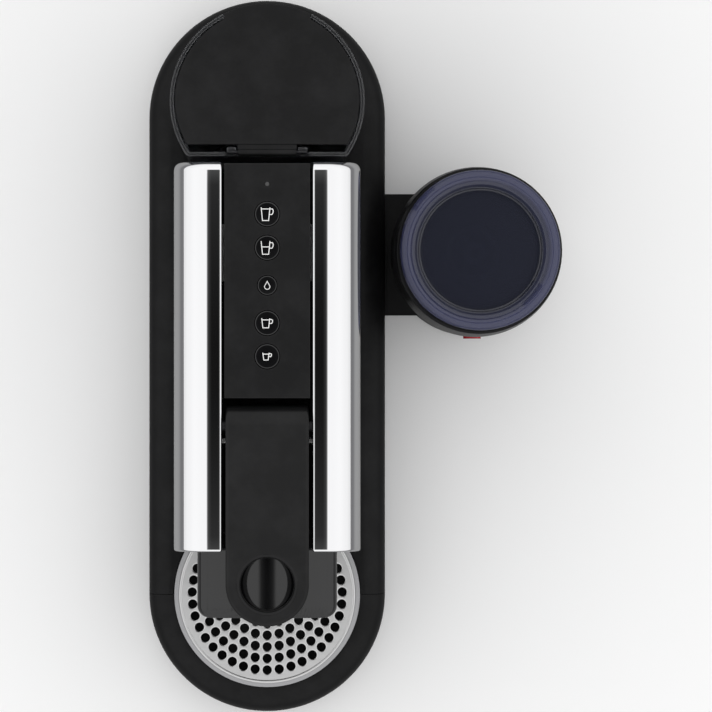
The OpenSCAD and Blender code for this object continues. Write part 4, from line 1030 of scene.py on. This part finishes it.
def jug_shell():
    """Lacquered wall of the jug, a closed sheet bent round its axis. At height t of the way up, its
    radius is R - 1.8 (1 - t / 0.6)^2 below the widest place and R - 1.4 ((t - 0.6) / 0.4)^2 above.
    The button stands in a round hole in a small flat at the front."""
    box_low, box_high = low("frother_body"), high("frother_body")
    widest = (box_high[0] - box_low[0]) / 2
    z0, z1 = box_low[2], box_high[2]
    key_low, key_high = low("frother_button"), high("frother_button")
    key_z = (key_low[2] + key_high[2]) / 2
    hole = (key_high[0] - key_low[0]) / 2 - 1.2 * MM + 0.3 * MM
    loop_length = TAU * widest
    cell = 11 * MM
    n = 14
    square = box_loop(-cell, cell, key_z - cell, key_z + cell, n)
    a = np.radians(225) + TAU * np.arange(4 * n) / (4 * n)
    ring = np.stack([hole * np.cos(a), key_z + hole * np.sin(a)], axis=1)
    blocks = [between_loops(square, ring, 6)]
    sides = np.linspace(-cell, cell, n + 1)
    us = np.concatenate([np.linspace(-loop_length / 2, -cell, 40)[:-1], sides,
                         np.linspace(cell, loop_length / 2, 40)[1:]])
    vs = np.concatenate([np.linspace(z0, key_z - cell, 4)[:-1], key_z + sides,
                         np.linspace(key_z + cell, z1, 30)[1:]])
    blocks.append(masked_grid(us, vs, lambda u, v: (np.abs(u) > cell) | (np.abs(v - key_z) > cell)))
    for points, _ in blocks:
        points[:, 0] = np.where(points[:, 0] > loop_length / 2 - 1e-9, -loop_length / 2, points[:, 0])
    points, quads = merged_sheet(blocks)
    near_hole = np.hypot(points[:, 0], points[:, 1] - key_z) < hole + 0.3 * MM
    edge = np.where(near_hole, 0.4 * MM, 1.2 * MM)

    def bend(point, depth):
        t = (point[:, 1] - z0) / (z1 - z0)
        below, above = np.clip(1 - t / 0.6, 0, 1), np.clip((t - 0.6) / 0.4, 0, 1)
        r = widest - 1.8 * MM * below ** 2 - 1.4 * MM * above ** 2
        angle = point[:, 0] / widest
        # the flat: close round the button the wall is pulled back to a plane across the front
        flat_r = (widest - 0.9 * MM) / np.maximum(np.cos(angle), 0.5)
        reach = np.hypot(point[:, 0], point[:, 1] - key_z)
        pull = np.clip((cell - reach) / (1.2 * MM), 0, 1)
        r = np.where(pull > 0, r + (np.minimum(r, flat_r) - r) * pull, r) - depth
        return np.stack([jug_x + r * np.sin(angle), jug_y - r * np.cos(angle), point[:, 1]], axis=1)

    verts, faces = plate(points, quads, bend, 4 * MM, edge, 0.4 * MM, steps=5, around=loop_length)
    return add_piece("jug_shell", verts, faces, FINISH["jug_black"], "jug",
                     ["frother_body"], sharp=40)


jug_shell()


# ------------------------------------------------------------------ frother lid

def jug_lid():
    """Dished lid turned from one outline: a crown, a step down to the sunken disc, and a plug ring."""
    box_low, box_high = low("frother_lid"), high("frother_lid")
    rim = (box_high[0] - box_low[0]) / 2
    top = box_high[2]
    base = high("frother_body")[2] + 0.3 * MM
    dish = rim - 9.2 * MM
    disc_z = top - 5 * MM
    shelf_z = top - 2.3 * MM
    plug = high("milk_pot")[0] - jug_x - 2 * MM
    outer = [(0, disc_z)] + [(r, disc_z) for r in np.linspace(4 * MM, dish - 1.1 * MM, 12)]
    outer += [(dish - 1.1 * MM + 1.1 * MM * math.sin(a), disc_z + 1.1 * MM * (1 - math.cos(a)))
              for a in np.radians([18, 36, 54, 72, 90])]
    outer += [(dish + 0.5 * MM * (1 - math.cos(a)), shelf_z - 0.5 * MM + 0.5 * MM * math.sin(a))
              for a in np.radians([0, 30, 60, 90])]
    # shelf, then a soft rise to the crown: z = shelf + h (1 - cos t) / 2
    outer += [(r, shelf_z) for r in (dish + 1.2 * MM, dish + 2 * MM)]
    outer += [(dish + (2 + 3.4 * t) * MM, shelf_z + (top - shelf_z) * (1 - math.cos(math.pi * t)) / 2)
              for t in np.linspace(0.125, 1, 8)]
    outer += [(rim - 3.4 * MM + 3.4 * MM * math.sin(a), top - 3.4 * MM + 3.4 * MM * math.cos(a))
              for a in np.radians([12, 24, 36, 48, 60, 72, 84, 90])]
    outer += [(rim, z) for z in np.linspace(top - 5 * MM, base + 0.5 * MM, 6)]
    outer += [(rim - 0.4 * MM, base), (rim - 2 * MM, base), (rim - 2.4 * MM, base + 0.4 * MM)]
    outer += [(rim - 2.4 * MM, top - 5 * MM)]
    outer += [(plug, top - 5 * MM), (plug, low("frother_lid")[2] + 0.4 * MM)]
    outer += [(plug - 0.4 * MM, low("frother_lid")[2]), (plug - 2 * MM, low("frother_lid")[2])]
    outer += [(plug - 2.4 * MM, low("frother_lid")[2] + 0.4 * MM), (plug - 2.4 * MM, top - 5.4 * MM)]
    outer += [(dish + 0.4 * MM, top - 5.4 * MM), (dish - 1 * MM, disc_z - 2.2 * MM), (0, disc_z - 2.2 * MM)]
    verts, faces = lathe(outer, (jug_x, jug_y), 144)
    return add_piece("jug_lid_dish", verts, faces, FINISH["smoked_lid"], "jug_cover",
                     ["frother_lid"], sharp=40)


jug_lid()


# ------------------------------------------------------------------ cup grid

def drain_grid():
    """Punched disc in a standing rim. Ring i has 39 - 6 i holes on the radius (6.45 - i) times the
    pitch, and every hole's edge is rolled. The sheet between them is filled with triangles."""
    box_low, box_high = low("cup_grid"), high("cup_grid")
    rim = (box_high[0] - box_low[0]) / 2
    top = box_high[2] - 0.6 * MM
    pitch = 6.05 * MM
    hole = 2.35 * MM
    sides = 20
    centres = []
    for i in range(7):
        count = 39 - 6 * i
        a = np.radians(-90) + TAU * np.arange(count) / count
        centres.append((6.45 - i) * pitch * np.stack([np.cos(a), np.sin(a)], axis=1))
    centres = np.concatenate(centres)
    turn = TAU * np.arange(sides) / sides
    ring = hole * np.stack([np.cos(turn), np.sin(turn)], axis=1)
    loops = (centres[:, None, :] + ring[None]).reshape(-1, 2)
    around = 160
    a = TAU * np.arange(around) / around
    outer = (rim - 0.8 * MM) * np.stack([np.cos(a), np.sin(a)], axis=1)
    points = np.concatenate([loops, outer])
    k = np.arange(len(loops))
    edges = np.stack([k, k // sides * sides + (k + 1) % sides], axis=1).tolist()
    m = len(loops) + np.arange(around)
    edges += np.stack([m, len(loops) + (np.arange(around) + 1) % around], axis=1).tolist()
    coords = [tuple(p) for p in (points / MM).tolist()]
    out, _, triangles, _, _, _ = delaunay_2d_cdt(coords, edges, [], 1, 1e-6)
    sheet = np.array([tuple(p) for p in out]) * MM
    triangles = np.array([list(t) for t in triangles])
    middle = sheet[triangles].mean(axis=1)
    nearest = np.linalg.norm(middle[:, None] - centres[None], axis=2).min(axis=1)
    triangles = triangles[nearest > hole * math.cos(math.pi / sides) - 0.001 * MM]
    quads = np.column_stack([triangles, triangles[:, 2]])

    def lay(point, depth):
        return np.stack([centre_x + point[:, 0], tray_y + point[:, 1], top - depth], axis=1)

    edge = np.where(np.linalg.norm(sheet, axis=1) > rim - 2 * MM, 0.05 * MM, 0.5 * MM)
    solids = [plate(sheet, quads, lay, 1.6 * MM, edge, 0.05 * MM, steps=4)]
    inner = rim - 1.6 * MM
    crest = top + 0.6 * MM
    profile = [(inner, box_low[2]), (rim - 0.3 * MM, box_low[2]), (rim, box_low[2] + 0.3 * MM)]
    profile += [(rim - 0.6 * MM + 0.6 * MM * math.sin(a), crest - 0.6 * MM + 0.6 * MM * math.cos(a))
                for a in np.radians([90, 72, 54, 36, 18, 0])]
    profile += [(inner + 0.6 * MM - 0.6 * MM * math.sin(a), crest - 0.6 * MM + 0.6 * MM * math.cos(a))
                for a in np.radians([0, 18, 36, 54, 72, 90])]
    solids.append(lathe(profile, (centre_x, tray_y), 160, closed=True))
    verts, faces = joined(solids)
    body = frame["nodes"]["cup_grid"]["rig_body"]
    return add_piece("drain_grid", verts, faces, FINISH["steel"], body, ["cup_grid"], sharp=50)


drain_grid()


# ------------------------------------------------------------------ floor, light and camera

def floor():
    """Square floor with an edge far outside every view, pale near the machine and darkened further out by
    painted shade.
    """
    half = 30
    t = np.linspace(-half, half, 3)
    x, y = np.meshgrid(t, t, indexing="ij")
    points = np.stack([x.ravel(), y.ravel(), np.full(9, -0.0002)], axis=1)
    faces = [[i * 3 + j, i * 3 + 3 + j, i * 3 + 4 + j, i * 3 + 1 + j] for i in range(2) for j in range(2)]
    mesh = bpy.data.meshes.new("floor")
    mesh.from_pydata(points.tolist(), [], faces)
    material = bpy.data.materials.new("floor_pale")
    tree, shader = tree_of(material)
    place = tree.nodes.new("ShaderNodeTexCoord")
    reach = tree.nodes.new("ShaderNodeVectorMath")
    reach.operation = "LENGTH"
    # painted shade: the floor's colour darkens from 0.34 m to 1.2 m out, a painted fall-off of light
    painted_falloff = tree.nodes.new("ShaderNodeMapRange")
    painted_falloff.interpolation_type = "SMOOTHSTEP"
    painted_falloff.inputs["From Min"].default_value = 0.34
    painted_falloff.inputs["From Max"].default_value = 1.2
    painted_falloff_tone = tree.nodes.new("ShaderNodeMix")
    painted_falloff_tone.data_type = "RGBA"
    painted_falloff_tone.inputs["A"].default_value = (0.92, 0.92, 0.92, 1)
    painted_falloff_tone.inputs["B"].default_value = (0.42, 0.42, 0.43, 1)
    tree.links.new(place.outputs["Object"], reach.inputs[0])
    tree.links.new(reach.outputs["Value"], painted_falloff.inputs["Value"])
    tree.links.new(painted_falloff.outputs[0], painted_falloff_tone.inputs["Factor"])
    # painted reflection: in reflections the floor is darker, because glossy rays get a darker floor colour
    # than the camera does, which paints a grey band into the chrome
    painted_reflection_tone = tree.nodes.new("ShaderNodeMix")
    painted_reflection_tone.data_type = "RGBA"
    painted_reflection_tone.inputs["A"].default_value = (0.33, 0.33, 0.33, 1)
    painted_reflection_tone.inputs["B"].default_value = (0.16, 0.16, 0.165, 1)
    path = tree.nodes.new("ShaderNodeLightPath")
    either = tree.nodes.new("ShaderNodeMix")
    either.data_type = "RGBA"
    tree.links.new(painted_falloff.outputs[0], painted_reflection_tone.inputs["Factor"])
    tree.links.new(path.outputs["Is Glossy Ray"], either.inputs["Factor"])
    tree.links.new(painted_falloff_tone.outputs["Result"], either.inputs["A"])
    tree.links.new(painted_reflection_tone.outputs["Result"], either.inputs["B"])
    tree.links.new(either.outputs["Result"], shader.inputs["Base Color"])
    shader.inputs["Roughness"].default_value = 0.7
    shader.inputs["Specular IOR Level"].default_value = 0.1
    mesh.materials.append(material)
    piece = bpy.data.objects.new("floor", mesh)
    bpy.context.scene.collection.objects.link(piece)


def studio():
    """White tent with a dark opening straight above: brightness is a ramp of the ray's height."""
    world = bpy.data.worlds.new("studio")
    bpy.context.scene.world = world
    world.use_nodes = True
    tree = world.node_tree
    background = tree.nodes["Background"]
    place = tree.nodes.new("ShaderNodeTexCoord")
    split = tree.nodes.new("ShaderNodeSeparateXYZ")
    ramp = tree.nodes.new("ShaderNodeValToRGB")
    ramp.color_ramp.interpolation = "EASE"
    stops = [(0.0, 0.95), (0.3, 1.08), (0.7, 1.15), (0.9948, 1.12), (0.9966, 0.006), (1.0, 0.006)]
    while len(ramp.color_ramp.elements) < len(stops):
        ramp.color_ramp.elements.new(0.5)
    for element, (position, value) in zip(ramp.color_ramp.elements, stops):
        element.position = position
        element.color = (value, value, value, 1)
    tree.links.new(place.outputs["Generated"], split.inputs[0])
    tree.links.new(split.outputs["Z"], ramp.inputs[0])
    tree.links.new(ramp.outputs[0], background.inputs["Color"])
    background.inputs["Strength"].default_value = 1.0


def camera():
    """Long lens straight above the machine, turned a little towards the middle of the picture."""
    above = 3.33
    level = 0.038
    scale = 0.5239 * MM
    width = 712
    machine_column = 267.2
    aim_x = centre_x + (width / 2 - machine_column) * scale
    data = bpy.data.cameras.new("camera")
    data.sensor_width = 36
    data.lens = 36 * above / scale / width
    data.clip_end = 100
    eye = bpy.data.objects.new("camera", data)
    bpy.context.scene.collection.objects.link(eye)
    eye.location = (centre_x, 0, above + level)
    eye.rotation_euler = (0, math.atan2(centre_x - aim_x, above), 0)
    bpy.context.scene.camera = eye


floor()
studio()
camera()
bpy.context.scene.view_settings.view_transform = "Standard"
